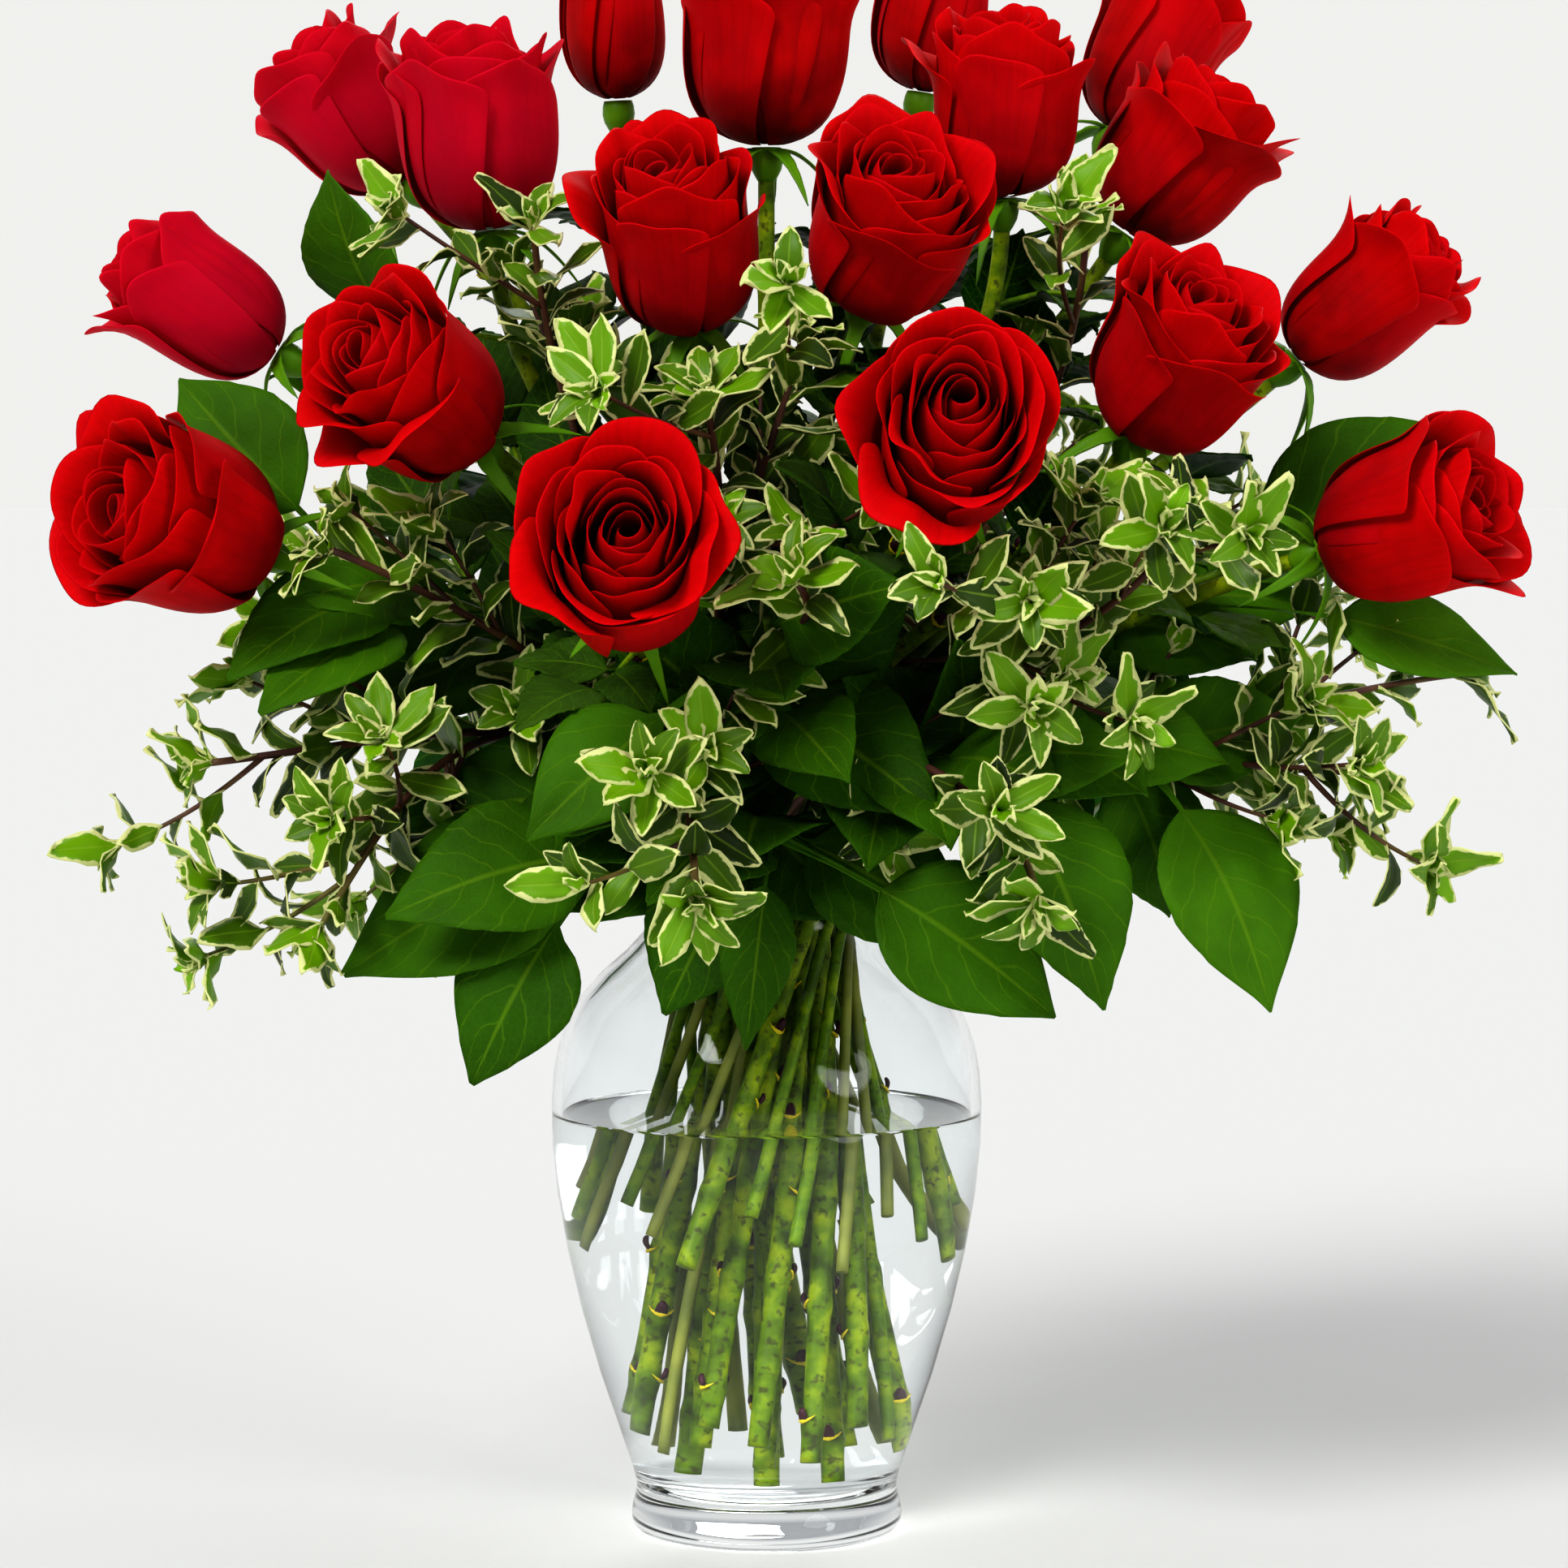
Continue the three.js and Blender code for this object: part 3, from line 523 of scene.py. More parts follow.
def broad_leaf_material(name, dark, light, roughness, sunk):
    """A broad leaf, thick and leathery. The top has a waxy gloss and paler sunk veins, and on the
    dull underside they stand up."""
    material, add = new_material(name)
    uv = add("UVMap", {"uv_map": "UVMap"})
    tint = add("Attribute", {"attribute_name": "tint"}).outputs["Fac"]
    place = add("TexCoord").outputs["Object"]
    parts = add("SeparateXYZ", links={0: uv})
    centred = add("Math", {"operation": "SUBTRACT", 1: 0.5}, {0: parts})
    away = add("Math", {"operation": "ABSOLUTE"}, {0: centred})
    # Side veins leave the middle rib forwards, six or seven pairs of them.
    lean = add("Math", {"operation": "MULTIPLY_ADD", 1: -0.55}, {0: away, 2: parts.outputs[1]})
    wobble = add("TexNoise", {"Scale": 5.0, "Detail": 2.0}, {"Vector": uv})
    shifted = add("Math", {"operation": "MULTIPLY_ADD", 1: 0.09}, {0: wobble, 2: lean})
    times = add("Math", {"operation": "MULTIPLY", 1: 7.5}, {0: shifted})
    saw = add("Math", {"operation": "PINGPONG", 1: 0.5}, {0: times})
    side_vein = add("ValToRGB", {"stops": [(0.0, 0.7), (0.06, 0.0)]}, {0: saw})
    rib = add("ValToRGB", {"stops": [(0.008, 1.0), (0.028, 0.0)]}, {0: away})
    veins = add("Math", {"operation": "MAXIMUM"}, {0: side_vein, 1: rib})
    # The net of fine veins has meshes 2.4 mm wide.
    cells = add("TexVoronoi", {"feature": "DISTANCE_TO_EDGE", "Scale": 1 / (2.4 * MM)}, {"Vector": place})
    net = add("ValToRGB", {"stops": [(0.0, 1.0), (0.12, 0.0)]}, {0: cells})
    # Darker patches are 22 mm wide.
    cloud = add("TexNoise", {"Scale": 45.0, "Detail": 3.0}, {"Vector": place})
    shade = add("ValToRGB", {"stops": [(0.3, 0.55), (0.65, 1.0)]}, {0: cloud})
    # The tint mixes the dark and the light green: painted shade, dark for leaves deep in the bouquet.
    body = add("Mix", {**COLOUR, "A": dark, "B": light}, {"Factor": tint})
    patchy = add("Mix", {**MULTIPLY, "Factor": 0.8}, {"A": body, "B": shade})
    faint = add("Math", {"operation": "MULTIPLY", 1: 0.2}, {0: net})
    netted = add("Mix", {**COLOUR, "B": "#3C7400"}, {"Factor": faint, "A": patchy})
    clear = add("Math", {"operation": "MULTIPLY", 1: 0.42}, {0: veins})
    veined = add("Mix", {**COLOUR, "B": "#6E9614"}, {"Factor": clear, "A": netted})
    relief = add("Math", {"operation": "MULTIPLY_ADD", 1: 0.25}, {0: net, 2: veins})
    bump = add("Bump", {"Strength": 0.35, "Distance": 0.0005, "invert": sunk}, {"Height": relief})
    return finish_material(material, {
        "Roughness": roughness, "Specular IOR Level": 0.15 if sunk else 0.08, "Subsurface Weight": 0.06,
        "Subsurface Radius": (0.3, 1.0, 0.05), "Subsurface Scale": 0.002,
    }, {"Base Color": veined, "Normal": bump})


def spray_leaf_material():
    """Variegated leaf: mid green with an uneven cream edge, satin."""
    material, add = new_material("variegated_leaf_satin")
    place = add("TexCoord").outputs["Object"]
    rim = add("Attribute", {"attribute_name": "rim"}).outputs["Fac"]
    tint = add("Attribute", {"attribute_name": "tint"}).outputs["Fac"]
    # The mark is how much wider than the mean a leaf's cream edge is, in millimetres.
    mark = add("Attribute", {"attribute_name": "mark"}).outputs["Fac"]
    parts = add("SeparateXYZ", links={0: add("UVMap", {"uv_map": "UVMap"})})
    centred = add("Math", {"operation": "SUBTRACT", 1: 0.5}, {0: parts})
    away = add("Math", {"operation": "ABSOLUTE"}, {0: centred})
    # The cream edge wanders in waves 5 mm long.
    wander = add("TexNoise", {"Scale": 210.0, "Detail": 3.0}, {"Vector": place})
    inner = add("Math", {"operation": "SUBTRACT"}, {0: rim, 1: mark})
    edge = add("Math", {"operation": "MULTIPLY_ADD", 1: -4.2}, {0: wander, 2: inner})
    cream = add("MapRange", {1: -1.6, 2: -1.25, 3: 1.0, 4: 0.0}, {0: edge})
    faded = add("Math", {"operation": "MULTIPLY", 1: 0.86}, {0: cream})
    body = add("Mix", {**COLOUR, "A": "#182C00", "B": "#7CB400"}, {"Factor": tint})
    rib = add("ValToRGB", {"stops": [(0.012, 1.0), (0.05, 0.0)]}, {0: away})
    faint = add("Math", {"operation": "MULTIPLY", 1: 0.4}, {0: rib})
    ribbed = add("Mix", {**COLOUR, "B": "#90B428"}, {"Factor": faint, "A": body})
    edged = add("Mix", {**COLOUR, "B": "#ECEFA4"}, {"Factor": faded, "A": ribbed})
    bump = add("Bump", {"Strength": 0.3, "Distance": 0.0004, "invert": True}, {"Height": rib})
    return finish_material(material, {
        "Roughness": 0.45, "Specular IOR Level": 0.25, "Subsurface Weight": 0.08,
        "Subsurface Radius": (0.6, 1.0, 0.15), "Subsurface Scale": 0.0015,
    }, {"Base Color": edged, "Normal": bump})


def stem_material():
    """Rose stem: smooth green skin with yellow and purple-brown marks where leaves grew."""
    material, add = new_material("rose_stem_skin")
    place = add("TexCoord").outputs["Object"]
    # The mark is 0.5 on a leaf scar and 1 on a bud.
    mark = add("Attribute", {"attribute_name": "mark"}).outputs["Fac"]
    tint = add("Attribute", {"attribute_name": "tint"}).outputs["Fac"]
    # Patches of light and dark green are 9 mm wide, brown specks 2.4 mm and the grain 1.1 mm.
    cloud = add("TexNoise", {"Scale": 110.0, "Detail": 5.0}, {"Vector": place})
    body = add("ValToRGB", {"stops": [(0.3, "#2C3E00"), (0.5, "#5E7C00"), (0.72, "#A2B406")]}, {0: cloud})
    speck = add("TexNoise", {"Scale": 420.0, "Detail": 4.0}, {"Vector": place})
    blotch = add("ValToRGB", {"stops": [(0.55, 0.0), (0.66, 0.75)]}, {0: speck})
    blotched = add("Mix", {**COLOUR, "B": "#2C1C10"}, {"Factor": blotch, "A": body})
    fresh = add("Mix", {**COLOUR, "B": "#5C9410"}, {"Factor": tint, "A": blotched})
    scar = add("ValToRGB", {"stops": [(0.2, 0.0), (0.4, 1.0)]}, {0: mark})
    yellow = add("Mix", {**COLOUR, "B": "#E0CC20"}, {"Factor": scar, "A": fresh})
    bud = add("ValToRGB", {"stops": [(0.6, 0.0), (0.8, 1.0)]}, {0: mark})
    purple = add("Mix", {**COLOUR, "B": "#3A1420"}, {"Factor": bud, "A": yellow})
    grain = add("TexNoise", {"Scale": 900.0, "Detail": 2.0}, {"Vector": place})
    bump = add("Bump", {"Strength": 0.12, "Distance": 0.0004}, {"Height": grain})
    return finish_material(material, {"Roughness": 0.45, "Specular IOR Level": 0.15},
                           {"Base Color": purple, "Normal": bump})


def twig_material():
    """Young twig: red-brown bark above, and green where it stood cut and wet in the vase."""
    material, add = new_material("twig_bark")
    place = add("TexCoord").outputs["Object"]
    # The bark's patches are 17 mm long.
    cloud = add("TexNoise", {"Scale": 60.0, "Detail": 3.0}, {"Vector": place})
    bark = add("ValToRGB", {"stops": [(0.35, "#3E1C18"), (0.55, "#5C3422"), (0.75, "#6E5A2C")]}, {0: cloud})
    wet = add("ValToRGB", {"stops": [(0.3, "#4A5A10"), (0.7, "#8E9430")]}, {0: cloud})
    height = add("SeparateXYZ", links={0: place}).outputs[2]
    above = add("MapRange", {1: (NECK - 20) * MM, 2: (EXIT + 25) * MM}, {0: height})
    whole = add("Mix", COLOUR, {"Factor": above, "A": wet, "B": bark})
    bump = add("Bump", {"Strength": 0.3, "Distance": 0.0004}, {"Height": cloud})
    return finish_material(material, {"Roughness": 0.6}, {"Base Color": whole, "Normal": bump})


def glass_material():
    """Soda-lime glass, blown in a mould: clear, with a slight waviness."""
    material, add = new_material("clear_soda_glass")
    place = add("TexCoord").outputs["Object"]
    # The glass is wavy over some 70 mm.
    wave = add("TexNoise", {"Scale": 14.0, "Detail": 1.0}, {"Vector": place})
    bump = add("Bump", {"Strength": 0.04, "Distance": 0.002}, {"Height": wave})
    return finish_material(material, {
        "Base Color": "#FCFEFF", "Roughness": 0.0, "IOR": 1.5, "Specular Tint": (0.35, 0.35, 0.35, 1.0),
        "Transmission Weight": 1.0}, {"Normal": bump})


def water_material():
    """Tap water, clear and still."""
    material, _ = new_material("still_water")
    return finish_material(material, {"Base Color": "#FEFFFF", "Roughness": 0.0, "IOR": 1.33,
                                      "Transmission Weight": 1.0})


PETAL = petal_material()
LEMON_TOP = broad_leaf_material("lemon_leaf_waxy_top", "#0A2A00", "#2E8000", 0.4, True)
LEMON_UNDER = broad_leaf_material("lemon_leaf_dull_underside", "#244C00", "#548C0C", 0.6, False)
ROSE_LEAF_TOP = broad_leaf_material("rose_leaf_satin_top", "#082400", "#1E6400", 0.45, True)
ROSE_LEAF_UNDER = broad_leaf_material("rose_leaf_dull_underside", "#244404", "#50741C", 0.62, False)
SPRAY = spray_leaf_material()
STEM = stem_material()
TWIG = twig_material()
GLASS = glass_material()
WATER = water_material()

# --- blooms


def petal_section(out, open_share):
    """Radius and height points of a petal, from the heart at 0 to the guard petals at 1."""
    outer = [[mix(a, b, open_share) for a, b in zip(p, q)] for p, q in zip(PETAL_BUD, PETAL_OPEN)]
    return [[mix(a, b, out) for a, b in zip(p, q)] for p, q in zip(PETAL_INNER, outer)]


def section_at(section, s):
    w = ((1 - s) ** 3, 3 * (1 - s) ** 2 * s, 3 * (1 - s) * s * s, s**3)
    return [sum(a * p[k] for a, p in zip(w, section)) for k in (0, 1)]


def petal_point(petal, u, t):
    """A point of a petal: u runs across from -1 to 1, and t from its base to its rim. Past its
    bend the petal rolls outward on an arc, most at its two sides, which leaves a pointed tip."""
    tip = petal.point * math.exp(-((u - petal.aside) / 0.26) ** 2)
    s = t * petal.reach * (1 - 0.17 * abs(u) ** 2.5 + petal.slant * u + tip)
    low = min(s, petal.bend)
    r, z = section_at(petal.section, low)
    if s > low:
        r1, z1 = section_at(petal.section, low - 0.02)
        scale = math.hypot(r - r1, z - z1)
        dr, dz = (r - r1) / scale, (z - z1) / scale
        middle, side = petal.roll
        angle = math.radians(mix(middle, side * (1 + petal.skew * u), abs(u) ** 1.6))
        arc = PETAL_RUN * (1.0 - petal.bend) / max(angle, 0.02)
        turn = PETAL_RUN * (s - low) / arc
        r += arc * (dr * math.sin(turn) + dz * (1 - math.cos(turn)))
        z += arc * (dz * math.sin(turn) - dr * (1 - math.cos(turn)))
    wide = 0.5 + 0.5 * min(1, s / 0.75)
    r = r * mix(1, petal.draw_in, min(1, s / 0.6)) + petal.step * u * min(1, s / 0.3)
    r += petal.ripple * math.sin(petal.phase + petal.waves * u) * s * s
    r -= petal.crease * math.exp(-(u / 0.25) ** 2) * s * s
    rim = max(0, s - 0.75) / 0.25
    r += petal.ruffle * math.sin(petal.phase * 3 + 10 * u) * rim
    z += petal.uneven * math.sin(petal.phase * 2 + 3.4 * u) * s * s + petal.rise * s
    a = petal.turn + petal.half * u * wide
    return Vector((r * math.cos(a), r * math.sin(a), z))


# How far a petal's rim lies along it, in a bloom 60 long.
PETAL_RUN = 61
# Rings of petals from the guard petals in: share of the way out, number, half width in degrees,
# spiral step, where the rim starts to roll, how far it rolls in its middle and at its sides,
# how far it is drawn in, and its reach. The rings at 1 and 0.45 are the solid's own.
PETAL_RINGS = [
    (1.0, 5, 50, 1.5, 0.7, 66, 132, 0.95, 0.97), (0.8, 4, 60, 1.8, 0.74, 50, 108, 0.98, 0.99),
    (0.61, 4, 60, 1.6, 0.8, 36, 86, 1.0, 1.0), (0.45, 3, 70, 1.4, 0.82, 30, 68, 1.0, 1.0),
    (0.31, 3, 78, 1.4, 0.85, 20, 48, 1.0, 1.0), (0.19, 2, 104, 1.5, 0.88, 10, 28, 1.0, 0.99),
    (0.1, 2, 112, 1.4, 0.88, 4, 14, 1.0, 0.97), (0.0, 1, 230, 1.7, 0.9, 0, 8, 0.9, 0.95),
]
# How far a bud's and a bloom's solid reach across before they are scaled.
BUD_WIDTH = 44
BLOOM_WIDTH = 64
BLOOM_LENGTH = 60


def petal_of(ring, open_share, turn, seed):
    """One petal's form, drawn within the limits of its ring."""
    out, _, half, step, bend, middle, side, draw_in, reach = ring
    unfold = min(1.1, open_share) * mix(1 - 0.45 * out, 1 + 0.3 * out, draw(seed, 3))
    # Some guard petals have fallen back, and stand lower than the head.
    fall = max(0, draw(seed, 16) - 0.45) * open_share if out == 1 else 0
    return Record(
        section=petal_section(out, open_share), turn=turn, half=math.radians(half), step=step,
        bend=bend + 0.05 * (draw(seed, 8) - 0.5) - 0.22 * fall,
        roll=((middle + 60 * fall) * unfold, (side + 20 * fall) * unfold),
        skew=0.6 * draw(seed, 12) - 0.3, draw_in=draw_in,
        reach=reach - mix(0.02, 0.12, out) * draw(seed, 13) - 0.12 * fall,
        point=mix(0.02, 0.15, draw(seed, 11)) * out, aside=0.3 * draw(seed, 17) - 0.15,
        slant=0.14 * (draw(seed, 18) - 0.5) * out, ripple=mix(0.5, 1.9, draw(seed, 4)) * out,
        phase=6.28 * draw(seed, 5), waves=mix(3.5, 6.5, draw(seed, 9)),
        ruffle=mix(0.3, 1.2, draw(seed, 14)) * min(1, 2 * out), crease=2.2 * draw(seed, 15) * out,
        uneven=3.0 * draw(seed, 6) * min(1, out * 2), rise=(draw(seed, 10) - 0.6) * 3.4)


def bloom(rose, index):
    wide = rose.width / (BUD_WIDTH if rose.open < 0.5 else BLOOM_WIDTH)
    # A bloom that faces the viewer is taller than wide, as its lowest guard petals hang.
    oval = 0.11 * max(0, -rose.axis.y) ** 4
    matrix = Matrix.LocRotScale(
        rose.base + rose.axis * 0.3, UP.rotation_difference(rose.axis),
        Vector((wide * (1 - oval), wide * (1 + oval), rose.length / BLOOM_LENGTH)))
    bm = new_bmesh()
    aside = 6.28 * draw(index, 31)
    for level, ring in enumerate(PETAL_RINGS):
        out, count = ring[:2]
        turn = rose.turn + (31 if out == 0.45 else 0 if out == 1 else 47 * level + 17)
        # The heart leans a little aside, so that the rings of petals aren't round one middle.
        lean = Vector((math.cos(aside), math.sin(aside), 0)) * (4.5 * (1 - out) / BLOOM_LENGTH)
        for k in range(count):
            seed = index * 97 + level * 11 + k
            petal = petal_of(ring, rose.open, math.radians(turn + 360 * k / count), seed)

            def place(u, t):
                point = petal_point(petal, u, t)
                return matrix @ (point + lean * point.z)

            # The tint is the pink, partly painted sheen; the mark darkens the heart's petals, most at their
            # base, which is painted shade.
            sheet(bm, 12 if out > 0.4 else 8, 9, place, rose.pink * mix(0.5, 1, out) + 0.1 * draw(seed, 7),
                  mark=lambda u, t: 0.75 * max(0, 1 - out / 0.5) * (1 - 0.6 * t))
    finish_piece(rose.name + "_petals", bm, [PETAL], [rose.name + "_bloom"], PETAL_THICK, smooth=1)


# --- stems, hips and sepals

# The hip's outline as radius and height below the bloom.
HIP = [(0, -12), (2.4, -11), (3.4, -9.5), (4.7, -7), (5.2, -4.5), (5.0, -2), (4.5, -0.2), (0, -0.1)]


def sepal_spot(angle, hug, seed, t):
    length = mix(24, 30, draw(seed, 1))
    droop = mix(0.35, 0.95, draw(seed, 2))
    reach = 3.5 + 12.5 * math.sin(2.2 * t) if hug else 3.5 + length * 0.8 * t
    rise = -1.5 + 26 * t * t if hug else -1.5 - length * droop * t * t
    return Vector((math.cos(angle) * reach, math.sin(angle) * reach, rise))


def stem_marks(seed, length):
    """Where along a stem leaves grew, in millimetres, and how far round it."""
    spots = []
    d = 12 + 18 * draw(seed, 20)
    while d < length - 16:
        spots.append((d, 6.283 * draw(seed, 40 + len(spots))))
        d += mix(20, 42, draw(seed, 60 + len(spots)))
    return spots


def leaf_scar(bm, path, distance, around):
    """Where a leaf grew: a thin crescent-shaped scar with a small dark bud above it."""
    along = path.tangent_at(distance / path.length)
    a = along.orthogonal().normalized()
    b = along.cross(a)

    def skin(angle, rise, lift):
        out = a * math.cos(around + angle) + b * math.sin(around + angle)
        return path.point_at((distance + rise) / path.length) + out * (ROSE_STEM + 0.3 + lift)

    def scar(u, t):
        return skin(-1.0 * u, 1.9 * u * u + 1.5 * (t - 0.5) * (1.1 - abs(u)), 0.25 * (1 - u * u))

    def bud(u, t):
        lift = 0.2 + 1.3 * math.sin(2.4 * t) * (1 - 0.6 * u * u)
        return skin(-0.42 * u * (1 - t) ** 0.6, 0.6 + 3.4 * t, lift)

    sheet(bm, 6, 2, scar, mark=lambda u, t: 0.5)
    sheet(bm, 3, 4, bud, mark=lambda u, t: 1.0)


def rose_green(rose, index):
    """A rose's stem, swollen where leaves grew, with its hip, its sepals and its leaf scars."""
    bm = new_bmesh()
    path = rose.path
    spots = stem_marks(index, path.length)

    def radius(u):
        swell = max((math.exp(-((u * path.length - d) / 3.2) ** 2) for d, _ in spots), default=0)
        return mix(3.05, 2.6, u) + 0.5 * swell

    tube(bm, path, radius, 10, 150, tint=0.05)
    seat = Matrix.LocRotScale(rose.base, UP.rotation_difference(rose.axis), None)

    def hip(u, t):
        a = math.pi * (u + 1)
        r, z = HIP[int(round(t * 7))]
        return seat @ Vector((r * math.cos(a), r * math.sin(a), z))

    verts = sheet(bm, 14, len(HIP) - 1, hip, tint=0.85)
    bmesh.ops.remove_doubles(bm, verts=verts, dist=MERGE)
    name = rose.name
    hug = rose.open < 0.5
    thin = new_bmesh()
    for d, around in spots:
        leaf_scar(thin, path, d, around)
    for k in range(5):
        angle = math.radians(rose.turn + 72 * k)
        seed = index * 5 + k
        if nearest(name + "_stem", seat @ sepal_spot(angle, hug, seed, 1)) > SAME:
            continue
        across = Vector((-math.sin(angle), math.cos(angle), 0))

        def sepal(u, t):
            half = 3.4 * (1 - t) ** 0.75 * min(1, 0.5 + 3 * t) + 0.25 * math.sin(30 * t) * (1 - t)
            spot = sepal_spot(angle, hug, seed, t) + across * (u * half)
            return seat @ (spot + Vector((0, 0, 0.22 * abs(u) * half)))

        sheet(thin, 4, 14, sepal, tint=0.9)
    finish_piece(name + "_sepals_and_buds", thin, [STEM], [], SEPAL_THICK)
    finish_piece(name + "_stem_and_hip", bm, [STEM], [name + "_stem"])


# --- leaves

# How far each small leaf of a twig is turned from the one before it, in radians.
LEAF_TURN = 2.4


def lemon_edge(t, stalk):
    v = max(0, (t - stalk) / (1 - stalk))
    return max(0.05, math.sin(math.pi * v**0.72) ** 0.85 * (1 - 0.25 * v**6)) if 0 < t < 1 else 0.03


def spray_edge(t, _):
    return max(0.05, math.sin(math.pi * t**0.88)) ** 0.62 * min(1, 0.45 + 2.2 * t) if 0 < t < 1 else 0.05


def new_leaf(root, tip, width, arch, fold, wave, up, edge=lemon_edge, stalk=0.12, cream=0):
    """A leaf from its root to its tip. edge gives its outline, and up the way its top faces."""
    return Record(root=root, tip=tip, width=width, arch=arch, fold=fold, wave=wave, up=up, edge=edge,
                  stalk=stalk, cream=cream)


def outward(point, rise=0):
    """The way out from the vase's axis at a point."""
    return Vector((point.x, point.y, rise)).normalized()


def leaf_facing(tip):
    """The way a lemon leaf's top faces: outward and up, and more to the front in the front half."""
    out = outward(tip)
    return Vector((0.5 * out.x, out.y - (0.5 if tip.y < 0 else 0), 0.45))


def leaf_frame(leaf):
    """A leaf's length and its three directions: along, to its side and up."""
    way = leaf.tip - leaf.root
    length = way.length
    way.normalize()
    up = (leaf.up - way * leaf.up.dot(way)).normalized()
    return length, way, up.cross(way), up


def leaf_rise(leaf, length, u, t):
    """How far a leaf's surface stands above the line from its root to its tip."""
    half = leaf.width / 2 * leaf.edge(t, leaf.stalk)
    wave = leaf.wave * math.sin(9 * t + 1.5 * u) * abs(u)
    return leaf.arch * length * math.sin(math.pi * t) + leaf.fold * half * abs(u) + wave


def leaf_sheet(bm, leaf, across, along, teeth=0.0, quilt=0.0, tint=0.5):
    length, way, side, up = leaf_frame(leaf)
    stalk = leaf.stalk

    def rows(t):
        # A small leaf has few rows, which crowd at its two ends and so round them.
        return t if teeth else (1 - math.cos(math.pi * t)) / 2

    def place(u, t):
        u, t = -u, rows(t)
        r = leaf.width / 2 * leaf.edge(t, stalk)
        v = (t - stalk) / (1 - stalk)
        puff = quilt * math.sin(math.pi * min(1, abs(u) * 1.6)) * math.sin(math.pi * max(0, min(1, v)))
        puff *= 0.6 + 0.4 * math.sin(2 * math.pi * 5 * (v - 0.25 * abs(u)))
        rise = leaf_rise(leaf, length, u, t) + puff
        if teeth and abs(u) > 0.99 and 0.15 < v < 0.95:
            r += teeth * (math.modf(t * length / 3.4)[0] - 0.5)
        return leaf.root + way * (length * t) + side * (r * u) + up * rise

    def rim(u, t):
        return leaf.width / 2 * leaf.edge(rows(t), stalk) * (1 - abs(u))

    sheet(bm, across, along, place, tint, rim, mark=lambda u, t: leaf.cream)


def surface(leaf):
    """Points of a leaf's middle line and of its two edges."""
    length, way, side, up = leaf_frame(leaf)
    points = []
    for t in (0.2, 0.4, 0.6, 0.8, 1):
        half = leaf.width / 2 * leaf.edge(t, 0)
        points += [leaf.root + way * (length * t) + side * (half * u) + up * leaf_rise(leaf, length, u, t)
                   for u in (-1, 0, 1)]
    return points


def pierces(points, broad):
    """Whether a small leaf with these points passes through a broad leaf, or all but touches it."""
    length, way, side, up = broad.frame
    if (points[0] - broad.root).length > length + 30:
        return False
    sides = set()
    for point in points:
        spot = point - broad.root
        share = spot.dot(way) / length
        if not 0 < share < 1:
            continue
        half = broad.width / 2 * broad.edge(share, broad.stalk)
        if abs(spot.dot(side)) < half + 1:
            height = spot.dot(up) - leaf_rise(broad, length, spot.dot(side) / max(half, 1), share)
            sides.add(height > 0)
            if abs(height) < 2:
                return True
    return len(sides) > 1


def wall_radius(z):
    """How far out the glass reaches at a height."""
    return float(np.interp(z, [p[1] for p in VASE_OUTSIDE], [p[0] for p in VASE_OUTSIDE], right=0))


def has_room(point, gap):
    """Whether a point is inside the solids' box and clear of every bloom and of the glass."""
    low, high = [Vector(corner) / MM for corner in cad_box]
    if any(point[k] < low[k] + 2 or point[k] > high[k] - 2 for k in range(3)):
        return False
    if point.z < 212 and math.hypot(point.x, point.y) < wall_radius(point.z) + 4:
        return False
    return all((point - rose.middle).length > rose.width / 2 + gap for rose in roses)


def hides_bloom(point, inset):
    """Whether a point stands in front of a bloom, further in than its outline by the inset."""
    return any(point.y < rose.middle.y and
               math.hypot(point.x - rose.middle.x, point.z - rose.middle.z) < rose.width / 2 - inset
               for rose in roses)


def in_front_of_vase(point):
    """Whether a point hangs before the glass, which stays in view below the collar of leaves."""
    return point.y < 0 and abs(point.x) < 95 and point.z < 200


# Tips of the twigs and leaves set so far, so that the next ones keep their distance.
tips = {"twig": [], "leaf": []}
# Every broad leaf set so far, which small leaves don't pass through.
broad_leaves = []
# How many leaves a lemon branch and a rose stem get beyond the solid's own, where there is room.
EXTRA_LEMON_LEAVES = 8
ROSE_LEAVES = 3
# How far apart the tips of broad leaves and of side twigs stay.
LEAVES_APART = 25
ROSE_LEAVES_APART = 24
TWIGS_APART = 24


def claim(kind, tip, apart):
    if any((tip - other).length < apart for other in tips[kind]):
        return False
    tips[kind].append(tip)
    return True


def fan(along, around, spread):
    """A direction that leaves another at an angle, turned round it."""
    flat = UP.cross(along).normalized()
    across = along.cross(flat)
    aside = flat * math.cos(around) + across * math.sin(around)
    return along * math.cos(spread) + aside * math.sin(spread)


LEMON_SHIFTS = [Vector((0, 0, 0))] + [
    Vector((far * math.cos(a), -far * math.sin(a), 0.4 * far * math.sin(a)))
    for far in (10, 20) for a in (2 * math.pi * k / 8 for k in range(8))]


def lemon_choices(path, share, tip, width, arch, blade):
    root = path.curve.point(min(share, 0.99))
    for shift in LEMON_SHIFTS:
        end = Vector(tip) + shift
        stalk = max(0.08, 1 - blade / (end - root).length)
        yield new_leaf(root, end, width, arch, 0.12, 1, leaf_facing(end), stalk=stalk)


